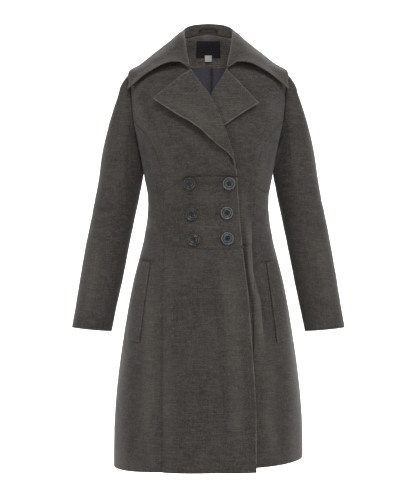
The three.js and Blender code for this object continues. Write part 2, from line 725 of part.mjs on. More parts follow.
// A lapel turns back over its front: each row runs from the front panel round the fold to the free edge
function addLapels() {
  for (const { side, sign, edge, lapel, standOff, lift } of fronts) {
    const { radius, inset, bottom, rows } = lapelFold;
    const free = new THREE.CatmullRomCurve3(lapel.map(({ x, z }) => new THREE.Vector3(x, 0, z)));
    const half = clothThickness / 2;
    const grid = spread(0, 1, rows).map((share) => {
      const z = mix(edge[0].z - 1, bottom, share);
      const roll = new THREE.Vector3(-lookUp(edge, 'z', 'x', z), 0, z);
      const row = free.getPointAt(share).sub(roll);
      const length = row.length();
      row.normalize();
      const below = new THREE.Vector3(-lookUp(edge, 'z', 'x', z - 4), 0, z - 4).sub(roll).normalize();
      const slant = Math.abs(row.x * below.z - row.z * below.x);
      const turns = [-90, -140, 180, 140, 90];
      const profile = [{ along: (inset * Math.abs(below.z) - 2 * seamGap) / slant, out: -half }];
      for (const turn of turns) {
        profile.push({
          along: radius + radius * Math.cos(turn * degree),
          out: radius - half + radius * Math.sin(turn * degree),
        });
      }
      const stands = mix(standOff.high, standOff.low, ease((share - standOff.from) / standOff.over));
      for (const part of lapelParts) {
        profile.push({
          along: mix(radius, length, part),
          out: mix(2 * radius - half, stands, part ** 1.5),
        });
      }
      return profile.map(({ along, out }) => {
        const x = roll.x + row.x * along;
        const height = roll.z + row.z * along;
        const angle = sign * angleAt(x, height);
        const rise = lift(x, height) + out;
        return bodyPoint(angle, height).addScaledVector(bodyNormal(angle, height), rise);
      });
    });
    addMesh(`lapel_${side}`, thicken(grid, half, half), wool);
  }
}

// A section of the collar: from the neck seam up the stand, over the fold and down the fall
function collarSection(share, sign) {
  const at = (column) => lookUp(collarLines, 'share', column, share);
  const fall = (column) => lookUp(collarFall, 'share', column, share);
  const seam = neckSeamPoint(share);
  const fold = new THREE.Vector3(at('foldX'), at('foldY'), at('foldZ'));
  const edge = new THREE.Vector3(at('edgeX'), at('edgeY'), at('edgeZ'));
  const out = edge.clone().sub(fold).setZ(0).normalize();
  const roll = fall('roll');
  const shoulder = fold.clone().addScaledVector(out, collar.rollDepth * roll);
  const drop = new THREE.Vector3(0, 0, -collar.rollDrop * roll);
  const past = shoulder.clone().addScaledVector(out, collar.rollReach * roll).add(drop);
  const start = keepClear(past, collar.clearance);
  const standDrop = new THREE.Vector3(0, 0, -collar.standDrop * roll);
  const standTop = fold.clone().add(standDrop).addScaledVector(out, collar.standIn);
  const points = [seam, seam.clone().lerp(standTop, 0.5), standTop];
  points.push(fold.clone().lerp(shoulder, 0.5).add(new THREE.Vector3(0, 0, collar.rollRise * roll)));
  points.push(start);
  for (const part of fallParts) {
    const rise = Math.sin(Math.PI * part ** 0.7);
    const point = start.clone().lerp(edge, part);
    point.z += fall('swell') * rise;
    point.y -= fall('forward') * rise;
    points.push(keepClear(point, collar.clearance));
  }
  return points.map((p) => new THREE.Vector3(sign * p.x, p.y, p.z));
}

// The neck seam by the collar's share, from the centre back over the shoulder to the top of the roll line
function neckSeamPoint(share) {
  const shoulderShare = 0.5;
  const lift = collar.seamGap;
  if (share < shoulderShare) {
    const angle = mix(180, 90, share / shoulderShare) * degree;
    const z = backNeckHeight(angle);
    return bodyPoint(angle, z).add(new THREE.Vector3(0, 0, lift));
  }
  const z = mix(neckLevel, neckline[neckline.length - 1].z, (share - shoulderShare) / (1 - shoulderShare));
  const angle = angleAt(lookUp(neckline, 'z', 'x', z), z);
  const beside = clothThickness + lift;
  return bodyPoint(angle, z).add(new THREE.Vector3(-beside, 0, lift));
}

function addCollar() {
  const grid = spread(-1, 1, collar.columns).map((share) => {
    return collarSection(Math.abs(share), share < 0 ? -1 : 1);
  });
  addMesh('collar', thicken(grid, clothThickness, 0), wool);
}

function addNeckInside() {
  const inside = (spec) => panelPlaces({
    sign: 1,
    first: () => spec.fromAngle * degree,
    second: () => (360 - spec.fromAngle) * degree,
    levels: spec.levels,
    columns: spec.columns,
  });
  const facingPlaces = inside({ fromAngle: facing.fromAngle, levels: facing.levels, columns: 16 });
  addMesh('back_neck_facing', layOnBody(facingPlaces, () => facing.lift, facing.thickness), wool);

  const liningLevels = spread(lining.bottom, lining.top, 12);
  const liningPlaces = inside({ fromAngle: lining.fromAngle, levels: liningLevels, columns: 18 });
  const pleat = (own) => lining.lift - lining.pleatDepth * bell(own, lining.pleatWidth);
  addMesh('lining_back', layOnBody(liningPlaces, pleat, liningThickness), satin);

  for (const [name, piece, material] of [['neck_label', label, labelCloth], ['size_tag', sizeTag, tagCloth]]) {
    const places = spread(piece.bottom, piece.top, 3).map((z) => spread(-0.5, 0.5, 4).map((share) => {
      const angle = 180 * degree - share * turnFor(piece.width, 180 * degree, z);
      return { angle, z, own: 0 };
    }));
    addMesh(name, layOnBody(places, () => piece.lift, piece.thickness), material);
  }
}

// The loop that the coat is hung up by, a flat strip that stands off the collar stand
function addHangerLoop() {
  const { halfWidth, y, z, rise, depth, height } = hangerLoop;
  const path = new THREE.CatmullRomCurve3([
    new THREE.Vector3(-halfWidth, y, z),
    new THREE.Vector3(-halfWidth * 0.75, y - 2, z + rise * 0.8),
    new THREE.Vector3(0, y - 3, z + rise),
    new THREE.Vector3(halfWidth * 0.75, y - 2, z + rise * 0.8),
    new THREE.Vector3(halfWidth, y, z),
  ]);
  const section = new THREE.Shape();
  section.absellipse(0, 0, depth / 2, height / 2, 0, 2 * Math.PI);
  const geometry = new THREE.ExtrudeGeometry(section, { steps: 14, curveSegments: 4, extrudePath: path });
  addMesh('hanger_loop', geometry, satin);
}

function addWelts() {
  for (const { side, sign } of fronts) {
    const places = spread(0, 1, 7).map((up) => spread(0, 1, 3).map((share) => {
      const frontZ = mix(welt.bottom, welt.top, up);
      const x = mix(welt.bottomX, welt.topX, up);
      const z = frontZ + welt.drop * share;
      const start = angleAt(x, z);
      const own = start + turnFor(welt.width * share, start, z);
      return { angle: sign * own, z, own };
    }));
    addMesh(`pocket_welt_${side}`, layOnBody(places, () => welt.lift, clothThickness), wool);
  }
}

// A closed mesh as a solid that can be cut
function toSolid(geometry) {
  const plain = geometry.clone();
  plain.deleteAttribute('normal');
  plain.deleteAttribute('uv');
  const merged = mergeVertices(plain, 1e-4);
  const vertProperties = new Float32Array(merged.attributes.position.array);
  const triVerts = new Uint32Array(merged.index.array);
  return new wasm.Manifold(new wasm.Mesh({ numProp: 3, vertProperties, triVerts }));
}

function toGeometry(solid) {
  const mesh = solid.getMesh();
  return outwards(Array.from(mesh.vertProperties), Array.from(mesh.triVerts));
}

// A four-hole button, standing on the plane y = 0
function buttonGeometry() {
  const { radius, height, rim, dish, well, hole, holeSpread } = button;
  const profile = [
    [0, 0],
    [radius - 1.6, 0],
    [radius, 1.6],
    [radius - 0.5, height - 0.7],
    [radius - rim * 0.6, height],
    [radius - rim - 0.6, height - 0.9],
    [well, height - dish - 0.5],
    [well - 1, height - dish - 1.1],
    [0, height - dish - 1.1],
  ];
  const blank = new THREE.LatheGeometry(profile.map(([x, y]) => new THREE.Vector2(x, y)), 16);
  let solid = toSolid(blank);
  if (solid.volume() < 0) throw new Error('the button is inside out');
  for (const [x, z] of [[1, 1], [-1, 1], [-1, -1], [1, -1]]) {
    const drill = new THREE.CylinderGeometry(hole, hole, 4 * height, 6);
    drill.translate(x * holeSpread * Math.SQRT1_2, 0, z * holeSpread * Math.SQRT1_2);
    solid = solid.subtract(toSolid(drill));
  }
  return toGeometry(solid);
}

function addButtons() {
  const geometry = buttonGeometry();
  for (const { name, x, z, stand } of buttons) {
    const angle = angleAt(x, z);
    const normal = bodyNormal(angle, z);
    const mesh = addMesh(name, geometry.clone(), horn);
    mesh.position.copy(bodyPoint(angle, z)).addScaledVector(normal, rightLift(-x, z) + stand);
    mesh.quaternion.setFromUnitVectors(new THREE.Vector3(0, 1, 0), normal);
  }
}

addFronts();
addBacks();
addSleeves();
addLapels();
addCollar();
addNeckInside();
addHangerLoop();
addWelts();
addButtons();

export default coat;
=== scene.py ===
import bpy
import bmesh
import math
import numpy as np
from mathutils import Matrix, Vector, noise
from mathutils.bvhtree import BVHTree
from mathutils.kdtree import KDTree


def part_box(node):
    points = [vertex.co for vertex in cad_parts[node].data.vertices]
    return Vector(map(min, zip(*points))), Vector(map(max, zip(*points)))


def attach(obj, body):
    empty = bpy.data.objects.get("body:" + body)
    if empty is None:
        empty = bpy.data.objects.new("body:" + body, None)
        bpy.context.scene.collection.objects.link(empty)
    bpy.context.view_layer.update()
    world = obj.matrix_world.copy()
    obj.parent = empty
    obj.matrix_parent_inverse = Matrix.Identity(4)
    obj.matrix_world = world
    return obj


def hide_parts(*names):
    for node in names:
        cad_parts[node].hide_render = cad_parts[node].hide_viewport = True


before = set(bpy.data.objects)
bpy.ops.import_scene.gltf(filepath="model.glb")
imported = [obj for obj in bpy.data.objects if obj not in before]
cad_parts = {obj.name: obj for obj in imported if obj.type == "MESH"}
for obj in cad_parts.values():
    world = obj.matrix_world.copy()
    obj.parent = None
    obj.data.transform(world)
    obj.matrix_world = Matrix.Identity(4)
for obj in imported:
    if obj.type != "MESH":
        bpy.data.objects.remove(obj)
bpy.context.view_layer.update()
mm = 0.001

# Camera: level, at the height of the middle of the coat
cameraValues = {"place": (0.0, -3.4, -0.462), "lens": 104.4, "sensor": 36.0, "shift": 0.0006}
cameraData = bpy.data.cameras.new("camera")
cameraData.sensor_fit = "VERTICAL"
cameraData.sensor_height = cameraValues["sensor"]
cameraData.lens = cameraValues["lens"]
cameraData.shift_x = -cameraValues["shift"]
camera = bpy.data.objects.new("camera", cameraData)
camera.location = cameraValues["place"]
camera.rotation_euler = (math.radians(90), 0, 0)
bpy.context.scene.collection.objects.link(camera)
bpy.context.scene.camera = camera


# Materials

def linear(red, green, blue):  # a colour given as it looks on a screen, from 0 to 255
    shares = [v / 255 for v in (red, green, blue)]
    return tuple(((v + 0.055) / 1.055) ** 2.4 if v > 0.04 else v / 12.92 for v in shares) + (1.0,)


def scaled(colour, times):
    return tuple(min(1.0, v * times) for v in colour[:3]) + (1.0,)


def addNode(tree, kind, values=None, **settings):
    made = tree.nodes.new(kind)
    for name, value in settings.items():
        setattr(made, name, value)
    for socket, value in (values or {}).items():
        made.inputs[socket].default_value = value
    return made


def feed(tree, socket, value):  # a number or a colour, or what another node gives
    if hasattr(value, "links"):
        tree.links.new(value, socket)
    else:
        socket.default_value = value


def mixColours(tree, factor, first, second):
    made = addNode(tree, "ShaderNodeMix", data_type="RGBA")
    for socket, value in zip((0, 6, 7), (factor, first, second)):
        feed(tree, made.inputs[socket], value)
    return made.outputs[2]


def calculate(tree, operation, first, second, clamp=False):
    made = addNode(tree, "ShaderNodeMath", operation=operation, use_clamp=clamp)
    feed(tree, made.inputs[0], first)
    feed(tree, made.inputs[1], second)
    return made.outputs[0]


def stretchedNoise(tree, place, stretch, scale, detail=2.0, roughness=0.6):
    mapping = addNode(tree, "ShaderNodeMapping", {"Scale": stretch})
    tree.links.new(place, mapping.inputs["Vector"])
    made = addNode(tree, "ShaderNodeTexNoise", {"Detail": detail, "Roughness": roughness})
    tree.links.new(mapping.outputs[0], made.inputs["Vector"])
    feed(tree, made.inputs["Scale"], scale)
    return made.outputs[0]


def band(tree, value, low, high):  # 0 at low and 1 at high
    limits = {"From Min": low, "From Max": high}
    made = addNode(tree, "ShaderNodeMapRange", limits, interpolation_type="SMOOTHSTEP")
    tree.links.new(value, made.inputs["Value"])
    return made.outputs[0]


def newMaterial(name, values):
    material = bpy.data.materials.new(name)
    material.use_nodes = True
    tree = material.node_tree
    shader = tree.nodes["Principled BSDF"]
    for socket, value in values.items():
        shader.inputs[socket].default_value = value
    return material, tree, shader


def addBump(tree, shader, height, strength, distance):
    bump = addNode(tree, "ShaderNodeBump", {"Strength": strength, "Distance": distance})
    tree.links.new(height, bump.inputs["Height"])
    tree.links.new(bump.outputs[0], shader.inputs["Normal"])


def paintedLightAndShade(tree):  # painted light and painted shade: how much lighter and how much darker the cloth is painted here
    tone = addNode(tree, "ShaderNodeAttribute", attribute_name="tone").outputs["Fac"]
    paintedShade = calculate(tree, "MULTIPLY", tone, -1.0)
    return [calculate(tree, "MAXIMUM", value, 0.0) for value in (tone, paintedShade)]


# Coat cloth: a marl of dark and light threads with a few coloured flecks
marlNoises = {  # stretch, scale as a multiple of the threads', detail, roughness
    "weft": ((0.22, 0.22, 1.3), 1.0, 3.0, 0.6),
    "warp": ((1.2, 1.2, 0.3), 1.0, 3.0, 0.6),
    "fuzz": ((1, 1, 1), 2.6, 4.0, 0.7),
    "warm": ((0.8, 0.8, 1.4), 0.9, 1.0, 0.6),
    "green": ((1.1, 1.1, 0.7), 0.7, 1.0, 0.6),
    "slub": ((0.1, 0.1, 1.0), 0.55, 2.0, 0.6),
    "strand": ((1.0, 1.0, 0.1), 0.55, 2.0, 0.6),
}
marlLayers = [  # noise, where it begins and where it is full, strength, colour
    ("weft", 0.42, 0.62, 0.85, "shade"),
    ("warp", 0.5, 0.72, 0.8, "light"),
    ("tone", 0.4, 0.66, 0.175, "light"),
    ("warm", 0.64, 0.72, 0.5, "warmFleck"),
    ("green", 0.66, 0.74, 0.4, "greenFleck"),
    ("coarse", 0.5, 0.64, 0.34, "light"),
    ("coarse", 0.5, 0.36, 0.34, "shade"),
]
marlValues = {
    "tone": ((1, 1, 0.6), 11.0, 3.0),  # broad patches: stretch, scale, detail
    "slub": 0.6,  # shares of the two in the coarse streaks
    "strand": 0.4,
    "roughness": 0.78,
    "fuzzRoughness": 0.2,
    "warpHeight": 0.8,  # against the weft
    "fuzzHeight": 0.5,
}
marlColours = ("ground", "shade", "light", "warmFleck", "greenFleck")


def marlGroup():
    tree = bpy.data.node_groups.new("marlCloth", "ShaderNodeTree")
    face = tree.interface
    for name in marlColours:
        face.new_socket(name=name, in_out="INPUT", socket_type="NodeSocketColor")
    face.new_socket(name="threadScale", in_out="INPUT", socket_type="NodeSocketFloat")
    face.new_socket(name="colour", in_out="OUTPUT", socket_type="NodeSocketColor")
    for name in ("roughness", "height"):
        face.new_socket(name=name, in_out="OUTPUT", socket_type="NodeSocketFloat")
    given = tree.nodes.new("NodeGroupInput").outputs
    put = tree.nodes.new("NodeGroupOutput").inputs
    place = addNode(tree, "ShaderNodeTexCoord").outputs["Object"]
    noises = {"tone": stretchedNoise(tree, place, *marlValues["tone"])}
    for name, (stretch, times, detail, roughness) in marlNoises.items():
        scale = calculate(tree, "MULTIPLY", given["threadScale"], times)
        noises[name] = stretchedNoise(tree, place, stretch, scale, detail, roughness)
    streaks = [calculate(tree, "MULTIPLY", noises[name], marlValues[name]) for name in ("slub", "strand")]
    noises["coarse"] = calculate(tree, "ADD", *streaks)
    colour = given["ground"]
    for name, low, high, strength, towards in marlLayers:
        amount = calculate(tree, "MULTIPLY", band(tree, noises[name], low, high), strength)
        colour = mixColours(tree, amount, colour, given[towards])
    tree.links.new(colour, put["colour"])
    fuzzy = calculate(tree, "MULTIPLY", noises["fuzz"], marlValues["fuzzRoughness"])
    tree.links.new(calculate(tree, "ADD", fuzzy, marlValues["roughness"], True), put["roughness"])
    raised = calculate(tree, "MULTIPLY", noises["warp"], marlValues["warpHeight"])
    threads = calculate(tree, "ADD", noises["weft"], raised)
    loose = calculate(tree, "MULTIPLY", noises["fuzz"], marlValues["fuzzHeight"])
    tree.links.new(calculate(tree, "ADD", threads, loose), put["height"])
    return tree


woolLook = {
    "ground": linear(50, 47, 44),
    "shade": linear(28, 27, 26),
    "light": linear(74, 70, 65),
    "warmFleck": linear(82, 55, 47),
    "greenFleck": linear(48, 60, 48),
    # painted shade: the colour that seams are darkened towards, where the groove between two pieces lies in
    # shade
    "seam": linear(12, 11, 10),
    "paintedEdgeHighlight": 2.2,  # painted highlight: how much lighter than the light threads a free edge is painted, where it would catch the light
    "threadScale": 640.0,
    "bump": 0.6,
    "bumpHeight": 0.0007,
    "shader": {"Sheen Weight": 0.16, "Sheen Roughness": 0.45, "Specular IOR Level": 0.2},
}


# a value above 1 makes a lit copy of the same cloth: painted light
def woolMaterial(name, paintedBrightening=1.0):
    material, tree, shader = newMaterial(name, woolLook["shader"])
    cloth = addNode(tree, "ShaderNodeGroup", node_tree=marl)
    for key in marlColours:
        cloth.inputs[key].default_value = scaled(woolLook[key], paintedBrightening)
    cloth.inputs["threadScale"].default_value = woolLook["threadScale"]
    # painted highlight on free edges and ridges, and painted shade in seams and troughs
    paintedLight, paintedShade = paintedLightAndShade(tree)
    paintedEdgeHighlight = scaled(woolLook["light"], woolLook["paintedEdgeHighlight"] * paintedBrightening)
    shaded = mixColours(tree, paintedLight, cloth.outputs["colour"], paintedEdgeHighlight)
    shaded = mixColours(tree, paintedShade, shaded, woolLook["seam"])
    tree.links.new(shaded, shader.inputs["Base Color"])
    tree.links.new(cloth.outputs["roughness"], shader.inputs["Roughness"])
    addBump(tree, shader, cloth.outputs["height"], woolLook["bump"], woolLook["bumpHeight"])
    return material


satinLook = {
    "ground": linear(94, 93, 102),
    "shade": linear(74, 74, 85),
    # painted shade: the colour the lining's troughs and its pleat are darkened towards
    "fold": linear(18, 18, 23),
    "twill": ((1, 1, 0.12), 900.0),  # stretch and scale of the weave, then of the soft unevenness
    "soft": ((1, 1, 0.35), 26.0),
    "twillBand": (0.35, 0.7),
    "roughness": 0.3,
    "softRoughness": 0.16,
    "twillHeight": 0.05,
    "bump": 0.5,
    "bumpHeight": 0.004,
    "shader": {"Sheen Weight": 0.35, "Specular IOR Level": 0.45, "Anisotropic": 0.4},
}


def satinMaterial(name):
    material, tree, shader = newMaterial(name, satinLook["shader"])
    place = addNode(tree, "ShaderNodeTexCoord").outputs["Object"]
    twill = stretchedNoise(tree, place, *satinLook["twill"])
    soft = stretchedNoise(tree, place, *satinLook["soft"])
    weave = band(tree, twill, *satinLook["twillBand"])
    colour = mixColours(tree, weave, satinLook["ground"], satinLook["shade"])
    # painted shade in the lining's troughs and pleat
    _, paintedShade = paintedLightAndShade(tree)
    tree.links.new(mixColours(tree, paintedShade, colour, satinLook["fold"]), shader.inputs["Base Color"])
    uneven = calculate(tree, "MULTIPLY", soft, satinLook["softRoughness"])
    tree.links.new(calculate(tree, "ADD", uneven, satinLook["roughness"]), shader.inputs["Roughness"])
    height = calculate(tree, "ADD", soft, calculate(tree, "MULTIPLY", twill, satinLook["twillHeight"]))
    addBump(tree, shader, height, satinLook["bump"], satinLook["bumpHeight"])
    return material


hornLook = {
    "dark": linear(3, 4, 6),
    "light": linear(9, 10, 13),
    # painted highlight: the pale colour painted on the rims' crests in place of glints
    "worn": linear(96, 100, 105),
    "streak": ((1, 1, 3.2), 70.0, 4.0, 0.65),  # stretch, scale, detail, roughness
    "streakBand": (0.38, 0.68),
    "speck": ((1, 1, 1), 900.0),
    "speckBand": (0.25, 0.6),
    "roughness": 0.3,
    "speckRoughness": 0.14,
    "bump": 0.15,
    "bumpHeight": 0.0003,
    "shader": {"Specular IOR Level": 0.38, "Coat Weight": 0.12, "Coat Roughness": 0.3},
}


def hornMaterial(name):
    material, tree, shader = newMaterial(name, hornLook["shader"])
    place = addNode(tree, "ShaderNodeTexCoord").outputs["Object"]
    streak = stretchedNoise(tree, place, *hornLook["streak"])
    speck = stretchedNoise(tree, place, *hornLook["speck"])
    cloudy = band(tree, streak, *hornLook["streakBand"])
    colour = mixColours(tree, cloudy, hornLook["dark"], hornLook["light"])
    # painted highlight on the crests of the rims
    worn = addNode(tree, "ShaderNodeAttribute", attribute_name="worn").outputs["Fac"]
    patchy = calculate(tree, "MULTIPLY", worn, band(tree, speck, *hornLook["speckBand"]))
    tree.links.new(mixColours(tree, patchy, colour, hornLook["worn"]), shader.inputs["Base Color"])
    uneven = calculate(tree, "MULTIPLY", speck, hornLook["speckRoughness"])
    tree.links.new(calculate(tree, "ADD", uneven, hornLook["roughness"]), shader.inputs["Roughness"])
    addBump(tree, shader, speck, hornLook["bump"], hornLook["bumpHeight"])
    return material


wovenLook = {  # labels and sewing thread
    "weft": (0.2, 0.2, 1),
    "warp": (1, 1, 0.2),
    "band": (0.35, 0.65),
    "roughness": 0.6,
    "threadRoughness": 0.2,
    "bump": 0.4,
    "bumpHeight": 0.0003,
    "shader": {"Sheen Weight": 0.15, "Specular IOR Level": 0.3},
}


def wovenMaterial(name, ground, thread, scale=1500.0):
    material, tree, shader = newMaterial(name, wovenLook["shader"])
    place = addNode(tree, "ShaderNodeTexCoord").outputs["Object"]
    weft = stretchedNoise(tree, place, wovenLook["weft"], scale)
    warp = stretchedNoise(tree, place, wovenLook["warp"], scale)
    both = calculate(tree, "MULTIPLY", calculate(tree, "ADD", weft, warp), 0.5)
    colour = mixColours(tree, band(tree, both, *wovenLook["band"]), ground, thread)
    tree.links.new(colour, shader.inputs["Base Color"])
    uneven = calculate(tree, "MULTIPLY", both, wovenLook["threadRoughness"])
    tree.links.new(calculate(tree, "ADD", uneven, wovenLook["roughness"]), shader.inputs["Roughness"])
    addBump(tree, shader, both, wovenLook["bump"], wovenLook["bumpHeight"])
    return material


marl = marlGroup()
wool = woolMaterial("coatCloth")
# the collar and lapels get a lit copy of the coat cloth: painted light, 1.1 times brighter
woolTurnedPaintedLight = woolMaterial("coatClothTurnedPaintedLight", 1.1)
woolPaintedLitFacing = woolMaterial("coatClothFacingPaintedLight", 4.2)  # painted light: a much brighter copy of the coat cloth, as the facing lies deep in the neck where little light reaches
satin = satinMaterial("liningSatin")
horn = hornMaterial("buttonHorn")
labelWeave = wovenMaterial("labelWeave", linear(24, 24, 29), linear(40, 40, 48))
tagWeave = wovenMaterial("tagWeave", linear(205, 206, 204), linear(228, 228, 226))
sewingThread = wovenMaterial("sewingThread", linear(11, 10, 11), linear(26, 25, 24), 2600.0)
print("materials made")


# Cloth: the outer side of each solid, smoothed, creased and given its thickness again

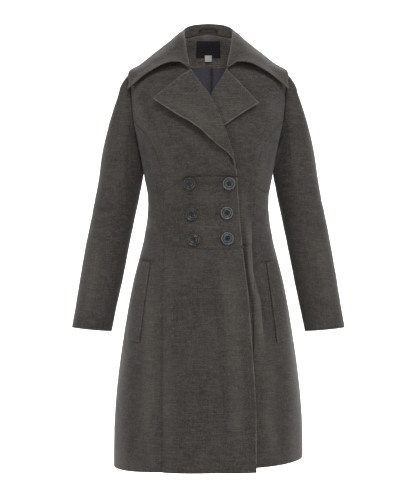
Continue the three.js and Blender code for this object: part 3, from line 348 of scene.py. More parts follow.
# Soft troughs and ridges: which sheets, which side of them, the line as x and z in mm, width, height. Several
# names together crease alike, up to their borders. The sides "out" and "in" face away from the coat's middle
# and to it, and "all" is every side
creases = [
    # the skirt's ridge beside the front edge, sharp on its outer side, and the valley between the two
    (("midriff_left", "skirt_front_left", "skirt_side_left"), "front",
     [(91, -390), (92, -463), (95, -513), (104, -554), (111, -577), (115, -622), (120, -667), (122, -700)],
     4.8, 4.6),
    (("midriff_left", "skirt_front_left", "skirt_side_left"), "front",
     [(100, -405), (101, -463), (104.5, -513), (113, -554), (120, -577), (124, -622), (129, -680)],
     3.2, -2.4),
    (("midriff_left", "skirt_front_left"), "front",
     [(78, -395), (82, -463), (86, -513), (92, -554), (96, -577), (100, -622), (105, -667), (108, -760)],
     4, -3.2),
    ("skirt_front_left", "front", [(100, -700), (96, -820), (98, -950)], 16, -3.0),
    # the skirt's centre
    ("skirt_front_right", "front", [(-6, -500), (-1, -615), (8, -710), (21, -874), (26, -960)], 15, -4.6),
    ("skirt_front_right", "front", [(-28, -620), (-37, -800), (-42, -950)], 15, -3.2),
    ("skirt_front_right", "front", [(50, -500), (62, -720), (68, -940)], 15, 2.0),
    ("skirt_front_right", "front", [(88, -640), (96, -780), (98, -950)], 8, -2.6),
    ("skirt_front_right", "front", [(-88, -480), (-92, -700), (-93, -940)], 11, 3.0),
    ("skirt_front_right", "front", [(-66, -470), (-72, -600), (-74, -760)], 12, -1.8),
    ("skirt_front_right", "front", [(30, -466), (34, -520), (36, -580)], 9, 1.6),
    ("skirt_side_right", "front", [(-122, -520), (-130, -700), (-136, -940)], 12, 2.6),
    ("skirt_side_right", "front", [(-150, -700), (-164, -830), (-170, -950)], 13, -3.4),
    ("skirt_side_left", "front", [(150, -660), (160, -820), (166, -945)], 14, -3.2),
    ("skirt_side_left", "front", [(134, -700), (138, -800), (140, -930)], 11, 2.6),
    # the seam over each pocket
    ("skirt_side_left", "front", [(108, -488), (122, -489), (150, -487)], 2.0, -1.8),
    ("skirt_side_right", "front", [(-158, -486), (-132, -489), (-120, -489)], 2.0, -1.8),
    # the waist, where the cloth gives
    ("skirt_side_right", "front", [(-144, -352), (-124, -362), (-108, -366)], 6, -2.0),
    ("skirt_side_right", "front", [(-146, -386), (-128, -392), (-110, -390)], 6, -1.8),
    ("skirt_side_right", "front", [(-150, -424), (-132, -416), (-112, -410)], 7, 1.6),
    ("skirt_side_left", "front", [(146, -358), (128, -372), (108, -378)], 6, -2.2),
    ("skirt_side_left", "front", [(148, -398), (130, -404), (110, -398)], 6, -1.6),
    ("skirt_side_left", "front", [(152, -432), (136, -424), (116, -420)], 7, 1.6),
    # the midriff, drawn between the buttons
    ("midriff_right", "front", [(-74, -322), (-69, -372), (-65, -424), (-64, -452)], 2.2, -1.0),
    ("midriff_right", "front", [(-28, -313), (0, -316), (30, -312)], 5, -1.3),
    ("midriff_right", "front", [(-22, -382), (4, -386), (28, -381)], 5, -1.4),
    ("midriff_right", "front", [(-18, -439), (6, -443), (28, -438)], 5, -1.2),
    ("midriff_right", "front", [(-26, -345), (2, -350), (30, -345)], 9, 1.1),
    ("midriff_right", "front", [(-24, -410), (4, -414), (28, -410)], 9, 1.0),
    ("midriff_right", "front", [(56, -320), (58, -380), (62, -440)], 5, 1.4),
    ("midriff_left", "front", [(78, -320), (84, -390), (92, -455)], 6, 2.6),
    # bust and armholes
    ("front_bodice_left", "front", [(124, -222), (117, -256), (110, -292)], 6, 2.6),
    ("front_bodice_left", "front", [(134, -150), (126, -190), (116, -224)], 8, -2.6),
    ("front_bodice_left", "front", [(150, -110), (140, -150), (128, -188)], 9, 1.8),
    ("front_bodice_left", "front", [(92, -236), (84, -268), (80, -300)], 9, -1.8),
    ("front_bodice_right", "front", [(-150, -96), (-134, -140), (-118, -186)], 9, -2.6),
    ("front_bodice_right", "front", [(-160, -130), (-148, -168), (-134, -196)], 7, 1.8),
    ("front_bodice_right", "front", [(-112, -230), (-100, -262), (-96, -300)], 8, -1.6),
    ("front_bodice_right", "front", [(-60, -225), (-20, -262), (20, -284)], 14, -1.6),
    ("front_bodice_right", "front", [(-30, -292), (10, -284), (46, -276)], 7, 1.2),
    ("side_bodice", "front", [(150, -200), (140, -240), (128, -290)], 6, -1.6),
    ("side_bodice", "front", [(-150, -204), (-140, -244), (-130, -286)], 6, -1.8),
    # under the arm, where sleeve and side lie close together
    (("sleeve_under", "sleeve_top"), "in", [(-151, -186), (-153, -236), (-155, -284)], 14, 2.1),
    (("sleeve_under", "sleeve_top"), "in", [(151, -186), (153, -236), (155, -284)], 14, 2.1),
    (("side_bodice", "side_back", "back"), "out", [(-157, -190), (-152, -236), (-148, -284)], 14, 1.9),
    (("side_bodice", "side_back", "back"), "out", [(157, -190), (152, -236), (148, -284)], 14, 1.9),
    (("sleeve_under", "sleeve_top"), "in", [(-153, -212), (-154, -254)], 9, 1.9),
    (("sleeve_under", "sleeve_top"), "in", [(153, -212), (154, -254)], 9, 1.9),
    (("side_bodice", "side_back", "back"), "out", [(-156, -214), (-151, -254)], 9, 1.3),
    (("side_bodice", "side_back", "back"), "out", [(156, -214), (151, -254)], 9, 1.3),
    # the sleeve heads, full over the shoulder
    ("sleeve_top", "all", [(184, -48), (192, -58), (199, -76), (203, -96)], 11, 2.6),
    ("sleeve_top", "all", [(-184, -48), (-192, -58), (-199, -76), (-203, -96)], 11, 2.6),
    # the skirt's sides, a little fuller
    (("skirt_side", "side_back", "pocket_welt"), "out",
     [(150, -440), (172, -600), (190, -760), (204, -975)], 34, 2.6),
    (("skirt_side", "side_back", "pocket_welt"), "out",
     [(-150, -440), (-172, -600), (-190, -760), (-204, -975)], 34, 2.6),
    # sleeves: drag from the head, wrinkles at the elbow, a soft fold to the cuff
    ("sleeve", "front", [(196, -80), (206, -140), (212, -210)], 9, -1.8),
    ("sleeve", "front", [(-196, -84), (-208, -150), (-212, -220)], 9, -1.8),
    ("sleeve", "front", [(180, -190), (196, -240), (206, -300)], 7, 2.0),
    ("sleeve", "front", [(-180, -196), (-194, -250), (-204, -310)], 7, 1.8),
    ("sleeve", "front", [(212, -352), (232, -364), (262, -366)], 4.5, -2.6),
    ("sleeve", "front", [(206, -372), (230, -384), (264, -386)], 4.5, -2.4),
    ("sleeve", "front", [(216, -364), (236, -374), (256, -377)], 4, 1.8),
    ("sleeve", "front", [(222, -398), (240, -408), (268, -412)], 6, -1.6),
    ("sleeve", "front", [(-208, -356), (-230, -372), (-258, -372)], 5, -2.2),
    ("sleeve", "front", [(-212, -388), (-238, -398), (-266, -394)], 5.5, -2.0),
    ("sleeve", "front", [(-216, -374), (-236, -385), (-256, -384)], 4.5, 1.6),
    ("sleeve", "front", [(252, -450), (262, -520), (276, -600)], 9, 1.8),
    ("sleeve", "front", [(-250, -440), (-264, -530), (-274, -610)], 9, 1.8),
    ("sleeve", "front", [(236, -470), (246, -540), (256, -620)], 8, -1.6),
    ("sleeve", "front", [(-232, -460), (-244, -540), (-254, -610)], 8, -1.6),
    ("sleeve", "back", [(206, -340), (232, -356), (264, -350)], 6, -2.4),
    ("sleeve", "back", [(208, -380), (236, -390), (266, -384)], 6, -2.2),
    ("sleeve", "back", [(-206, -346), (-232, -360), (-262, -352)], 6, -2.2),
    ("sleeve", "back", [(-210, -386), (-238, -396), (-268, -386)], 6, -2.0),
    ("sleeve", "back", [(190, -110), (204, -180), (210, -260)], 10, -2.0),
    ("sleeve", "back", [(-190, -116), (-204, -186), (-210, -266)], 10, -2.0),
    # back: the waist, the blades and the skirt
    ("back", "back", [(-70, -336), (-30, -350), (0, -354)], 9, -2.6),
    ("back", "back", [(0, -346), (34, -344), (72, -330)], 9, -2.4),
    ("back", "back", [(-62, -384), (-20, -392), (24, -390), (60, -378)], 9, -2.0),
    ("back", "back", [(-120, -150), (-86, -212), (-64, -276)], 13, -2.6),
    ("back", "back", [(122, -156), (90, -216), (66, -280)], 13, -2.4),
    ("back", "back", [(-40, -480), (-52, -640), (-60, -900)], 14, -3.0),
    ("back", "back", [(44, -500), (50, -660), (54, -880)], 14, -2.8),
    ("back", "back", [(6, -560), (10, -720), (8, -940)], 12, 2.6),
    ("side_back", "back", [(-130, -350), (-110, -362), (-92, -364)], 8, -2.4),
    ("side_back", "back", [(132, -346), (112, -360), (92, -362)], 8, -2.2),
    ("side_back", "back", [(-138, -398), (-116, -404), (-96, -398)], 8, -1.8),
    ("side_back", "back", [(138, -392), (118, -400), (98, -394)], 8, -1.8),
    ("side_back", "back", [(-150, -540), (-160, -720), (-166, -940)], 15, -3.2),
    ("side_back", "back", [(150, -560), (162, -740), (168, -940)], 15, -3.0),
    ("side_back", "back", [(118, -620), (126, -780), (130, -940)], 12, 2.4),
    ("side_back", "back", [(-118, -600), (-126, -770), (-130, -940)], 12, 2.4),
    # collar and lapels
    ("collar", "front", [(-120, -6), (-96, -34), (-70, -52)], 12, 1.8),
    ("collar", "front", [(126, -2), (100, -28), (74, -46)], 12, 1.8),
    ("collar", "back", [(-60, 30), (-74, -10), (-80, -44)], 16, -1.6),
    ("collar", "back", [(58, 34), (76, -6), (84, -44)], 16, -1.4),
    ("lapel_right", "front", [(-96, -128), (-50, -150), (0, -186)], 10, 1.6),
    ("lapel_left", "front", [(92, -132), (60, -140), (22, -176)], 10, 1.4),
    # the lining's pleat at the centre back
    ("lining_back", "back", [(4, -34), (5, -160), (6, -320)], 4.0, -3.6),
    (("lining_back",), "back", [(7.5, 60), (9.0, -130), (10.5, -320)], 2.0, -3.0),
]
clothValues = {
    "thickness": 2.2,
    "weld": 0.002,  # mm, between points of a solid that are one
    "rimWithin": 0.006,  # mm, by which an edge across the wall's rim may miss the thickness
    "levels": 3,  # of smoothing
    "depth": 1.4,  # all creases are this much deeper than the table says
    "unevenness": 1.1,  # mm, of broad soft waves
    "waveLength": 90.0,
    "rippleLength": 30.0,
    "rippleShare": 0.5,
    "seamDip": 1.1,  # mm, and how far from the seam it reaches
    "seamReach": 2.4,
    "edgeDip": 0.35,
    "gather": (11.0, 0.8),  # the grid is drawn together towards the borders, over this distance
    "fadeIn": 25.0,  # mm from a border over which creases and waves grow
    "atBorder": 0.25,  # the share of a crease that is left at a border
    "taper": (4, 0.25),  # how fast a crease deepens from its ends, and its share there
    "sewnWithin": 3.0,  # mm, between the borders of two pieces that are sewn together
    "lineReach": 1.8,
    "foldPaintedShading": 0.036,  # painted light and shade: how much lighter a ridge of 1 mm is painted, and a trough darker
    "finePaintedShading": 0.2,  # the same for a crease narrower than fineWidth
    "fineWidth": 3,
    "toneLimits": (-0.9, 0.6),
    "rimUneven": (0.65, 0.7, 26),  # the painted edge highlight and painted seam shade: the least share of it, how much that varies, and over what length
    "hemTop": -945,
    "pucker": 0.3,
    "puckerLength": 7,
    "puckerReach": 9,
    "edge": 0.55,  # rounding of the wall's edges
    "edgeAngle": 58,
    "thinEdge": 0.5,  # share of it on thin cloth
    "meet": 0.25,  # mm, by which sewn borders reach over the gap between two solids
    "corner": 24.0,  # degrees: where the border turns more than this, it stays sharp
}
# Free edges that stand off the chest: by how much, over what distance, and between which x or z they fade in.
# The fold is a line of z and x, from which the cloth turns over
edgeLifts = {
    "lapel_right": {"lift": 6.0, "reach": 20.0, "axis": 2, "from": -258, "to": -215, "side": -1,
                    "fold": [(-279, 63), (-245, 55), (-210, 44), (-173, 31), (-141, 17), (-113, 2),
                             (-94, -9), (-47, -41)]},
    "lapel_left": {"lift": 4.5, "reach": 16.0, "axis": 0, "from": 45, "to": 75, "side": 1,
                   "fold": [(-185, -31), (-140, -10), (-106, 8), (-91, 17), (-69, 31), (-47, 42)]},
    "collar": {"lift": 3.0, "reach": 15.0, "axis": 2, "from": -400, "to": -300},
}
# A crease ends where the cloth has turned this far from its side, and has faded in over this much turning
sideTurn = {"limit": 0.7, "over": 0.6, "sideways": 0.9}
foldClear = {"from": 8, "over": 22}  # mm from the fold, where the lift begins and over which it grows
# How far the collar's points reach further out, by height, from which x on, and up to which y
collarPoint = {"z": [-88, -35], "out": [-1.0, 7.5], "from": 115, "over": 60, "yFrom": 45, "yOver": 25}
# Where the right lapel runs out into the front's edge: the edge's x at these heights
lapelEnd = {"z": [-279, -245, -210], "x": [63, 55.5, 44.5], "start": -226, "length": 38, "power": 1.4}


def regions(bm, thickness):  # the sides of a thin wall, without its rim
    rim = set()
    for edge in bm.edges:
        if abs(edge.calc_length() - thickness * mm) < clothValues["rimWithin"] * mm:
            rim.update(edge.link_faces)
    left = set(bm.faces) - rim
    found = []
    while left:
        stack = [left.pop()]
        part = []
        while stack:
            face = stack.pop()
            part.append(face)
            for edge in face.edges:
                for other in edge.link_faces:
                    if other in left:
                        left.remove(other)
                        stack.append(other)
        found.append(part)
    return sorted(found, key=lambda part: -sum(face.calc_area() for face in part))


def keepCorners(bm):
    layer = bm.verts.layers.float.new("crease_vert")
    for v in bm.verts:
        sides = [edge.other_vert(v).co - v.co for edge in v.link_edges if edge.is_boundary]
        if len(sides) == 2 and sides[0].angle(sides[1]) < math.radians(180 - clothValues["corner"]):
            v[layer] = 1.0


def outerSheet(node, thickness):
    bm = bmesh.new()
    bm.from_mesh(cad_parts[node].data)
    bmesh.ops.remove_doubles(bm, verts=bm.verts, dist=clothValues["weld"] * mm)
    keep = set(regions(bm, thickness)[0])
    bmesh.ops.delete(bm, geom=[face for face in bm.faces if face not in keep], context="FACES")
    bmesh.ops.join_triangles(bm, faces=bm.faces, angle_face_threshold=math.pi, angle_shape_threshold=math.pi)
    keepCorners(bm)
    return bm


def meshObject(name, bm, materials):
    for face in bm.faces:
        face.smooth = True
    mesh = bpy.data.meshes.new(name)
    bm.to_mesh(mesh)
    bm.free()
    made = bpy.data.objects.new(name, mesh)
    for material in materials:
        mesh.materials.append(material)
    bpy.context.scene.collection.objects.link(made)
    return made


def applyModifiers(made):
    graph = bpy.context.evaluated_depsgraph_get()
    mesh = bpy.data.meshes.new_from_object(made.evaluated_get(graph))
    made.modifiers.clear()
    old = made.data
    made.data = mesh
    bpy.data.meshes.remove(old)


def smooth(made, levels):
    finer = made.modifiers.new("finer", "SUBSURF")
    finer.levels = levels
    finer.render_levels = levels
    finer.boundary_smooth = "PRESERVE_CORNERS"
    applyModifiers(made)


def lineRelief(x, z, line, width, height):
    nearest = np.full(len(x), 1e9)
    along = np.zeros(len(x))
    points = np.array(line, float)
    lengths = np.hypot(*np.diff(points, axis=0).T)
    total = lengths.sum()
    done = 0.0
    for (x0, z0), (x1, z1), length in zip(points[:-1], points[1:], lengths):
        share = np.clip(((x - x0) * (x1 - x0) + (z - z0) * (z1 - z0)) / length**2, 0, 1)
        away = np.hypot(x - x0 - share * (x1 - x0), z - z0 - share * (z1 - z0))
        closer = away < nearest
        nearest[closer] = away[closer]
        along[closer] = (done + share[closer] * length) / total
        done += length
    steepness, atEnds = clothValues["taper"]
    taper = np.clip(np.minimum(along, 1 - along) * steepness + atEnds, 0, 1)
    return height * taper * np.exp(-0.5 * (nearest / width) ** 2)


def boundaryOf(made):
    edges = np.empty(len(made.data.loops), int)
    made.data.loops.foreach_get("edge_index", edges)
    uses = np.bincount(edges, minlength=len(made.data.edges))
    return sorted({i for n in np.flatnonzero(uses == 1) for i in made.data.edges[n].vertices})


def gatherGrid(mesh, node, seams):  # in mm, with each point's distance from the border and its place there
    count = len(mesh.vertices)
    places = np.empty(count * 3)
    mesh.vertices.foreach_get("co", places)
    places = places.reshape(-1, 3) / mm
    bm = bmesh.new()
    bm.from_mesh(mesh)
    border = [v for v in bm.verts if v.is_boundary]
    tree = KDTree(len(border))
    for i, v in enumerate(border):
        tree.insert(v.co, i)
    tree.balance()
    within = clothValues["sewnWithin"] * mm
    sewn = []
    for v in border:
        near = seams["tree"].find_range(v.co, within)
        sewn.append(any(seams["owner"][i] != node for _, i, _ in near))
    gatherReach, power = (0, 1) if sheets[node].get("turned") else clothValues["gather"]
    away = np.zeros(count)
    joined = np.zeros(count)
    anchors = np.zeros((count, 3))
    for i, v in enumerate(bm.verts):
        nearest, index, distance = tree.find(v.co)
        distance /= mm
        anchors[i] = np.array(nearest) / mm
        joined[i] = sewn[index]
        if 0 < distance < gatherReach:
            share = (distance / gatherReach) ** power
            places[i] = anchors[i] + (places[i] - anchors[i]) * share
            distance *= share
        away[i] = distance
    outward = sheets[node].get("meet", clothValues["meet"])
    for v in border:
        inner = [e.other_vert(v).co for e in v.link_edges if not e.is_boundary]
        inner = inner or [e.other_vert(v).co for e in v.link_edges]
        out = v.co - sum(inner, Vector()) / len(inner)
        out -= out.project(v.normal)
        places[v.index] += np.array(out.normalized()) * outward
    bm.free()
    return places, away, joined, anchors


def shapeOutline(node, places):
    if node == "collar":
        share = np.clip((np.abs(places[:, 0]) - collarPoint["from"]) / collarPoint["over"], 0, 1)
        out = np.interp(places[:, 2], collarPoint["z"], collarPoint["out"])
        share *= np.clip((collarPoint["yFrom"] - places[:, 1]) / collarPoint["yOver"], 0, 1)
        places[:, 0] += np.sign(places[:, 0]) * out * share
    if node == "lapel_right":
        share = np.clip((lapelEnd["start"] - places[:, 2]) / lapelEnd["length"], 0, 1) ** lapelEnd["power"]
        places[:, 0] += (np.interp(places[:, 2], lapelEnd["z"], lapelEnd["x"]) - places[:, 0]) * share


def sideWeight(side, places, normals):  # 1 where the cloth faces that side, 0 where it faces away
    outwards = np.sign(places[:, 0]) * normals[:, 0]
    turns = {"front": normals[:, 1], "back": -normals[:, 1], "all": np.zeros(len(places)),
             "out": sideTurn["sideways"] - outwards, "in": sideTurn["sideways"] + outwards}
    return np.clip((sideTurn["limit"] - turns[side]) / sideTurn["over"], 0, 1)


def foldCreases(node, places, normals, fade):  # how far each point moves, and its painted light and shade
    move = np.zeros(len(places))
    tone = np.zeros(len(places))
    for group, side, line, width, height in creases:
        if not node.startswith(group):
            continue
        weight = sideWeight(side, places, normals)
        if isinstance(group, str):
            weight = weight * (clothValues["atBorder"] + (1 - clothValues["atBorder"]) * fade)
        depth = height * clothValues["depth"]
        relief = weight * lineRelief(places[:, 0], places[:, 2], line, width, depth)
        move += relief
        # ridges are painted lighter and troughs painted darker
        if side in ("front", "back"):
            fine = width < clothValues["fineWidth"]
            tone += relief * clothValues["finePaintedShading" if fine else "foldPaintedShading"]
    return move, tone


def softWaves(places, anchors, away, joined, fade):  # no cloth lies flat, and sewn edges pucker
    waves = np.zeros(len(places))
    for i in range(len(places)):
        place = Vector(places[i] * mm)
        wave = noise.noise(place / (clothValues["waveLength"] * mm))
        ripple = noise.noise(place / (clothValues["rippleLength"] * mm))
        wave += clothValues["rippleShare"] * ripple
        pull = noise.noise(Vector(anchors[i]) / clothValues["puckerLength"]) * clothValues["pucker"]
        pull *= math.exp(-((away[i] / clothValues["puckerReach"]) ** 2))
        waves[i] = wave * clothValues["unevenness"] * fade[i] + pull * joined[i]
    return waves


def liftEdge(lift, places, away, joined):
    axis = places[:, lift["axis"]]
    grown = np.clip((axis - lift["from"]) / (lift["to"] - lift["from"]), 0, 1)
    if "fold" in lift:
        foldX = np.interp(places[:, 2], *zip(*lift["fold"]))
        clear = lift["side"] * (places[:, 0] - foldX) - foldClear["from"]
        grown *= np.clip(clear / foldClear["over"], 0, 1)
    return (1 - joined) * grown * lift["lift"] * np.exp(-((away / lift["reach"]) ** 2))


def creaseSheet(made, node, seams):
    mesh = made.data
    look = sheets[node]
    normals = np.array([v.normal for v in mesh.vertices])
    places, away, joined, anchors = gatherGrid(mesh, node, seams)
    shapeOutline(node, places)
    fade = 1 - np.exp(-((away / clothValues["fadeIn"]) ** 2))
    move, tone = foldCreases(node, places, normals, fade)
    move += softWaves(places, anchors, away, joined, fade)
    if not look.get("turned"):
        dip = np.where(joined > 0, clothValues["seamDip"], clothValues["edgeDip"])
        move -= dip * np.exp(-((away / clothValues["seamReach"]) ** 2))
    if node in edgeLifts:
        move += liftEdge(edgeLifts[node], places, away, joined)
    places += normals * move[:, None]
    mesh.vertices.foreach_set("co", (places * mm).ravel())
    near = np.exp(-((away / clothValues["lineReach"]) ** 2))
    least, more, length = clothValues["rimUneven"]
    uneven = np.array([least + more * noise.noise(Vector(place) / length) for place in anchors])
    free = (1 - joined) * (places[:, 2] > clothValues["hemTop"])
    # painted highlight along free edges and painted shade along seams, unevenly strong
    tone += near * uneven * (free * look.get("rim", 0.0) - joined * look.get("seam", 0.0))
    layer = mesh.attributes.new("tone", "FLOAT", "POINT")
    layer.data.foreach_set("value", np.clip(tone, *clothValues["toneLimits"]))
    mesh.update()


def wallFrom(made, thickness, edge):
    wall = made.modifiers.new("wall", "SOLIDIFY")
    wall.thickness = thickness * mm
    wall.offset = -1
    wall.material_offset = 1
    wall.use_even_offset = False
    rounded = made.modifiers.new("edge", "BEVEL")
    rounded.width = edge * mm
    rounded.segments = 2
    rounded.limit_method = "ANGLE"
    rounded.angle_limit = math.radians(clothValues["edgeAngle"])


# Each sheet of cloth. Cut: width, length and area in metres of what shows. On: the sheet it is sewn to. Seam
# and rim: how much painted shade darkens its seams and how much painted highlight lightens its free edges.
# Turned: folded over
sheets = {
    "front_bodice_right": {"cut": (0.275, 0.385, 0.060), "on": "back_right", "seam": 0.3, "rim": 0.5},
    "front_bodice_left": {"cut": (0.27, 0.37, 0.057), "on": "back_left", "seam": 0.3},
    "midriff_right": {"cut": (0.185, 0.165, 0.028), "on": "front_bodice_right", "seam": 0.4, "rim": 0.5},
    "midriff_left": {"cut": (0.18, 0.165, 0.027), "on": "front_bodice_left", "seam": 0.25},
    "skirt_front_right": {"cut": (0.225, 0.515, 0.104), "on": "midriff_right", "seam": 0.1, "rim": 0.6},
    "skirt_front_left": {"cut": (0.19, 0.515, 0.0885), "on": "midriff_left"},
    "side_bodice_right": {"cut": (0.12, 0.19, 0.016),
                          "on": "front_bodice_right", "seam": 0.25, "meet": 0.4},
    "side_bodice_left": {"cut": (0.12, 0.19, 0.016), "on": "front_bodice_left", "seam": 0.25, "meet": 0.4},
    "skirt_side_right": {"cut": (0.2, 0.65, 0.105), "on": "side_bodice_right", "seam": 0.3},
    "skirt_side_left": {"cut": (0.2, 0.65, 0.102), "on": "side_bodice_left"},
    "back_right": {"cut": (0.2, 1.03, 0.133), "on": "front_bodice_right", "seam": 0.35, "meet": 0.4},
    "back_left": {"cut": (0.2, 1.03, 0.133), "on": "front_bodice_left", "seam": 0.35, "meet": 0.4},
    "side_back_right": {"cut": (0.2, 0.82, 0.111), "on": "back_right", "seam": 0.35, "meet": 0.4},
    "side_back_left": {"cut": (0.2, 0.82, 0.108), "on": "back_left", "seam": 0.35, "meet": 0.4},
    "sleeve_top_right": {"cut": (0.24, 0.64, 0.107),
                         "on": "front_bodice_right", "seam": 0.07, "meet": 0.65},
    "sleeve_top_left": {"cut": (0.24, 0.64, 0.107), "on": "front_bodice_left", "seam": 0.07, "meet": 0.65},
    "sleeve_under_right": {"cut": (0.165, 0.5, 0.061),
                           "on": "sleeve_top_right", "seam": 0.07, "meet": 0.65},
    "sleeve_under_left": {"cut": (0.165, 0.5, 0.061), "on": "sleeve_top_left", "seam": 0.07, "meet": 0.65},
    "lapel_right": {"cut": (0.15, 0.24, 0.018), "on": "front_bodice_right", "turned": True, "rim": 0.45},
    "lapel_left": {"cut": (0.15, 0.24, 0.015), "on": "front_bodice_left", "turned": True, "rim": 0.45},
    "collar": {"cut": (0.56, 0.17, 0.079), "on": "back_right", "turned": True, "rim": 0.3},
    "pocket_welt_right": {"cut": (0.047, 0.19, 0.0084), "on": "skirt_side_right", "rim": 0.2},
    "pocket_welt_left": {"cut": (0.047, 0.19, 0.0084), "on": "skirt_side_left", "rim": 0.2},
    "back_neck_facing": {"cut": (0.3, 0.09, 0.0195), "levels": 2,
                         "on": "back_right", "thickness": 1.2, "meet": 2.4},
    "lining_back": {"cut": (0.42, 0.34, 0.122), "on": "back_neck_facing", "thickness": 1.0},
    "neck_label": {"cut": (0.062, 0.04, 0.0024), "on": "back_neck_facing", "thickness": 0.8},
    "size_tag": {"cut": (0.017, 0.0155, 0.00026), "on": "neck_label", "thickness": 0.6},
}
# Coat cloth, not lining, on the inner face too
insideCloth = {"collar", "lapel_right", "lapel_left", "pocket_welt_right", "pocket_welt_left",
               "back_neck_facing"}
ownCloth = {"lining_back": satin, "neck_label": labelWeave, "size_tag": tagWeave,
            "back_neck_facing": woolPaintedLitFacing}

thinCloth = {"flat": 0.9, "thin": 1.5}  # mm: no creases below flat, finer edges below thin

made = {}
for node, values in sheets.items():
    outside = ownCloth.get(node, woolTurnedPaintedLight if values.get("turned") else wool)
    inside = outside if node in insideCloth or node in ownCloth else satin
    sheet = outerSheet(node, values.get("thickness", clothValues["thickness"]))
    made[node] = meshObject("cloth_" + node, sheet, [outside, inside])
    smooth(made[node], values.get("levels", clothValues["levels"]))
borders = []
for node, sheet in made.items():
    borders += [(node, sheet.data.vertices[i].co.copy()) for i in boundaryOf(sheet)]
seams = {"owner": [node for node, _ in borders], "tree": KDTree(len(borders))}
for i, (_, place) in enumerate(borders):
    seams["tree"].insert(place, i)
seams["tree"].balance()
print("sheets laid out")
for node, values in sheets.items():
    thickness = values.get("thickness", clothValues["thickness"])
    if thickness > thinCloth["flat"]:
        creaseSheet(made[node], node, seams)
    edge = clothValues["edge"] * thickness / clothValues["thickness"]
    wallFrom(made[node], thickness, edge * (clothValues["thinEdge"] if thickness < thinCloth["thin"] else 1))
    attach(made[node], "root")
    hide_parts(node)
print("cloth made")


# Buttons

buttonValues = {
    "profile": [(0, 0.2), (12.7, 0.2), (14.1, 1.2), (14.5, 2.4), (14.35, 3.5), (13.9, 4.25), (13.2, 4.6),
                (12.5, 4.45), (11.8, 3.8), (11.1, 3.3), (10.2, 3.1), (9.5, 3.25), (8.8, 3.7), (8.1, 3.85),
                (7.4, 3.6), (6.8, 3.0), (6.2, 2.65), (5.4, 2.5), (0, 2.4)],
    # painted highlight: how pale each point of the profile is painted
    "worn": [0, 0, 0, 0.05, 0.25, 0.6, 1.0, 0.7, 0.2, 0.05, 0, 0.1, 0.4, 0.5, 0.3, 0.05, 0, 0, 0],
    "dull": 0.16,  # painted highlight on the wearer's right column, which catches less light, is this share of the other's
    "steps": 72,
    "hole": 1.15,
    "holeTurns": (45, 135, 225, 315),
    "drill": 20,  # length
    "spread": 2.5,
    "middle": 2.3,  # half the height
    "thread": {"radius": 0.62, "rise": 2.5, "half": 2.9, "flat": 0.75, "apart": 0.42},
}
buttonTurns = {"right_top": 32, "right_middle": 16, "right_bottom": 16,
               "left_top": 24, "left_middle": 8, "left_bottom": 8}  # degrees, by which its holes are turned


def buttonMesh():
    bm = bmesh.new()
    chain = [bm.verts.new((x * mm, 0, z * mm)) for x, z in buttonValues["profile"]]
    edges = [bm.edges.new(pair) for pair in zip(chain[:-1], chain[1:])]
    bmesh.ops.spin(bm, geom=chain + edges, cent=(0, 0, 0), axis=(0, 0, 1), angle=2 * math.pi,
                   steps=buttonValues["steps"], use_merge=True)
    bmesh.ops.remove_doubles(bm, verts=bm.verts, dist=1e-5)
    bmesh.ops.recalc_face_normals(bm, faces=bm.faces)
    blank = meshObject("buttonBlank", bm, [horn])
    drills = bmesh.new()
    for turn in buttonValues["holeTurns"]:
        out = Matrix.Translation((buttonValues["spread"] * mm, 0, 0))
        radius = buttonValues["hole"] * mm
        bmesh.ops.create_cone(drills, cap_ends=True, segments=16, radius1=radius, radius2=radius,
                              depth=buttonValues["drill"] * mm,
                              matrix=Matrix.Rotation(math.radians(turn), 4, "Z") @ out)
    cutter = meshObject("buttonDrills", drills, [horn])
    cut = blank.modifiers.new("holes", "BOOLEAN")
    cut.object = cutter
    cut.solver = "EXACT"
    applyModifiers(blank)
    mesh = blank.data
    radii = [x for x, _ in buttonValues["profile"]][2:]
    # painted highlight, by radius, on the top face only
    worn = mesh.attributes.new("worn", "FLOAT", "POINT")
    for i, v in enumerate(mesh.vertices):
        radius = math.hypot(v.co.x, v.co.y) / mm
        top = v.co.z > buttonValues["middle"] * mm
        worn.data[i].value = np.interp(radius, radii[::-1], buttonValues["worn"][2:][::-1]) if top else 0.0
    bpy.data.objects.remove(blank)
    bpy.data.objects.remove(cutter)
    return mesh


def threadMesh():
    bm = bmesh.new()
    values = buttonValues["thread"]
    for side in (-1, 1):
        for strand in (-1, 1):
            fresh = bmesh.ops.create_uvsphere(bm, u_segments=16, v_segments=10, radius=1.0)["verts"]
            size = Vector((values["half"], values["radius"] * values["flat"], values["radius"])) * mm
            bmesh.ops.scale(bm, vec=size, verts=fresh)
            across = side * buttonValues["spread"] * math.sqrt(0.5) + strand * values["apart"]
            bmesh.ops.translate(bm, vec=Vector((0, across, values["rise"])) * mm, verts=fresh)
    return meshObject("threadBars", bm, [sewingThread])


buttonBase = buttonMesh()
threads = threadMesh()
for place, holeTurn in buttonTurns.items():
    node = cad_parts["button_" + place]
    points = np.array([node.matrix_world @ v.co for v in node.data.vertices])
    middle = points.mean(axis=0)
    low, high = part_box("button_" + place)
    centre = (Vector(low) + Vector(high)) / 2
    axis = Vector(np.linalg.svd(points - middle, full_matrices=False)[2][2])
    if axis.y > 0:
        axis.negate()
    foot = Matrix.Translation(centre - axis * buttonValues["middle"] * mm)
    turn = axis.to_track_quat("Z", "Y").to_matrix().to_4x4() @ Matrix.Rotation(math.radians(holeTurn), 4, "Z")
    for name, source in (("button_" + place + "_turned", buttonBase), ("thread_" + place, threads.data)):
        piece = bpy.data.objects.new(name, source.copy())
        piece.data.transform(foot @ turn)
        bpy.context.scene.collection.objects.link(piece)
        # less painted highlight on the wearer's right column
        if source is buttonBase and place.startswith("right"):
            for item in piece.data.attributes["worn"].data:
                item.value *= buttonValues["dull"]
        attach(piece, "root")
        if source is buttonBase:
            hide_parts("button_" + place)
bpy.data.objects.remove(threads)
print("buttons made")


# Buttonholes, sewn through the right front beside the left column of buttons

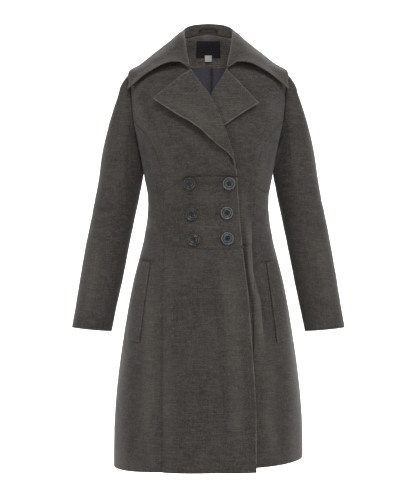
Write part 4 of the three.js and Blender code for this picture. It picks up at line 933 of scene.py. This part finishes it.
holeValues = {
    "castFrom": -500,  # y, in front of the coat
    "besideCloth": -120,  # y, where no cloth is behind
    "holes": {"top": (24, -311, 12.5), "middle": (25, -379.5, 8.5), "bottom": (24, -438.5, 9)},  # x, z, half
    # the sewn rim's section: share of the length, half width, how far it stands out
    "rings": [(1.0, 2.3, 0.0), (0.97, 1.9, 0.75), (0.9, 1.15, 0.85), (0.86, 0.6, 0.1), (0.93, 1.4, -0.5)],
}
graph = bpy.context.evaluated_depsgraph_get()
frontTree = BVHTree.FromObject(made["midriff_right"], graph)
for place, (x, z, half) in holeValues["holes"].items():
    bm = bmesh.new()
    loops = []
    for stretch, thick, rise in holeValues["rings"]:
        shape = Matrix.Translation((x * mm, -rise * mm, z * mm)) @ Matrix.Rotation(math.radians(90), 4, "X")
        size = Matrix.Diagonal((half * stretch * mm, thick * mm, 1, 1))
        ring = bmesh.ops.create_circle(bm, segments=40, radius=1.0, matrix=shape @ size)["verts"]
        loops.append([edge for edge in bm.edges if edge.verts[0] in ring and edge.verts[1] in ring])
    for first, second in zip(loops, loops[1:] + loops[:1]):
        bmesh.ops.bridge_loops(bm, edges=first + second)
    for v in bm.verts:
        rise = v.co.y
        start = Vector((v.co.x, holeValues["castFrom"] * mm, v.co.z))
        hit, _, _, _ = frontTree.ray_cast(start, Vector((0, 1, 0)))
        v.co.y = (hit.y if hit else holeValues["besideCloth"] * mm) + rise
    bmesh.ops.recalc_face_normals(bm, faces=bm.faces)
    piece = meshObject("buttonhole_" + place, bm, [sewingThread])
    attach(piece, "root")
print("buttonholes made")

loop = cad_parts["hanger_loop"]
loop.data.materials.clear()
loop.data.materials.append(sewingThread)


# Floor, backdrop and light

stageValues = {"floor": -1.42, "half": 9.0, "front": -8.0, "back": 7.0, "height": 6.0, "bend": 1.6}
lights = {  # place, what it points at, size, power
    "keyLight": ((0.5, -2.5, 2.9), (0, 0, -0.35), 1.2, 105),
    "leftLight": ((-2.7, -1.5, 0.6), (0, 0, -0.5), 1.4, 42),
    "rightLight": ((2.7, -1.6, 0.5), (0, 0, -0.5), 1.4, 38),
    "backLight": ((0.6, 2.2, 1.9), (0, 0, -0.3), 1.5, 30),
    "backdropLight": ((0, 4.0, 3.6), (0, 6.0, -1.0), 4.5, 620),
}
worldStrength = 0.42


def buildStage():
    bm = bmesh.new()
    values = stageValues
    bendFrom = values["back"] - values["bend"]
    line = [(values["front"], 0.0), (bendFrom, 0.0)]
    for turn in range(10, 90, 10):
        a = math.radians(turn)
        line.append((bendFrom + values["bend"] * math.sin(a), values["bend"] * (1 - math.cos(a))))
    line += [(values["back"], values["bend"]), (values["back"], values["height"])]
    chain = [bm.verts.new((-values["half"], y, values["floor"] + z)) for y, z in line]
    edges = [bm.edges.new(pair) for pair in zip(chain[:-1], chain[1:])]
    swept = bmesh.ops.extrude_edge_only(bm, edges=edges)["geom"]
    moved = [item for item in swept if isinstance(item, bmesh.types.BMVert)]
    bmesh.ops.translate(bm, vec=(2 * values["half"], 0, 0), verts=moved)
    bmesh.ops.recalc_face_normals(bm, faces=bm.faces)
    material, _, _ = newMaterial("paleStage", {"Base Color": (0.92, 0.92, 0.92, 1), "Roughness": 0.9})
    meshObject("stage", bm, [material])


def areaLight(name, place, target, size, power):
    data = bpy.data.lights.new(name, "AREA")
    data.size = size
    data.energy = power
    made = bpy.data.objects.new(name, data)
    made.location = place
    made.rotation_euler = (Vector(target) - Vector(place)).to_track_quat("-Z", "Y").to_euler()
    bpy.context.scene.collection.objects.link(made)


buildStage()
for name, (place, target, size, power) in lights.items():
    areaLight(name, place, target, size, power)
world = bpy.data.worlds.new("studio")
bpy.context.scene.world = world
world.use_nodes = True
world.node_tree.nodes["Background"].inputs["Color"].default_value = (1, 1, 1, 1)
world.node_tree.nodes["Background"].inputs["Strength"].default_value = worldStrength
bpy.context.scene.view_settings.view_transform = "Standard"
print("stage and light made")
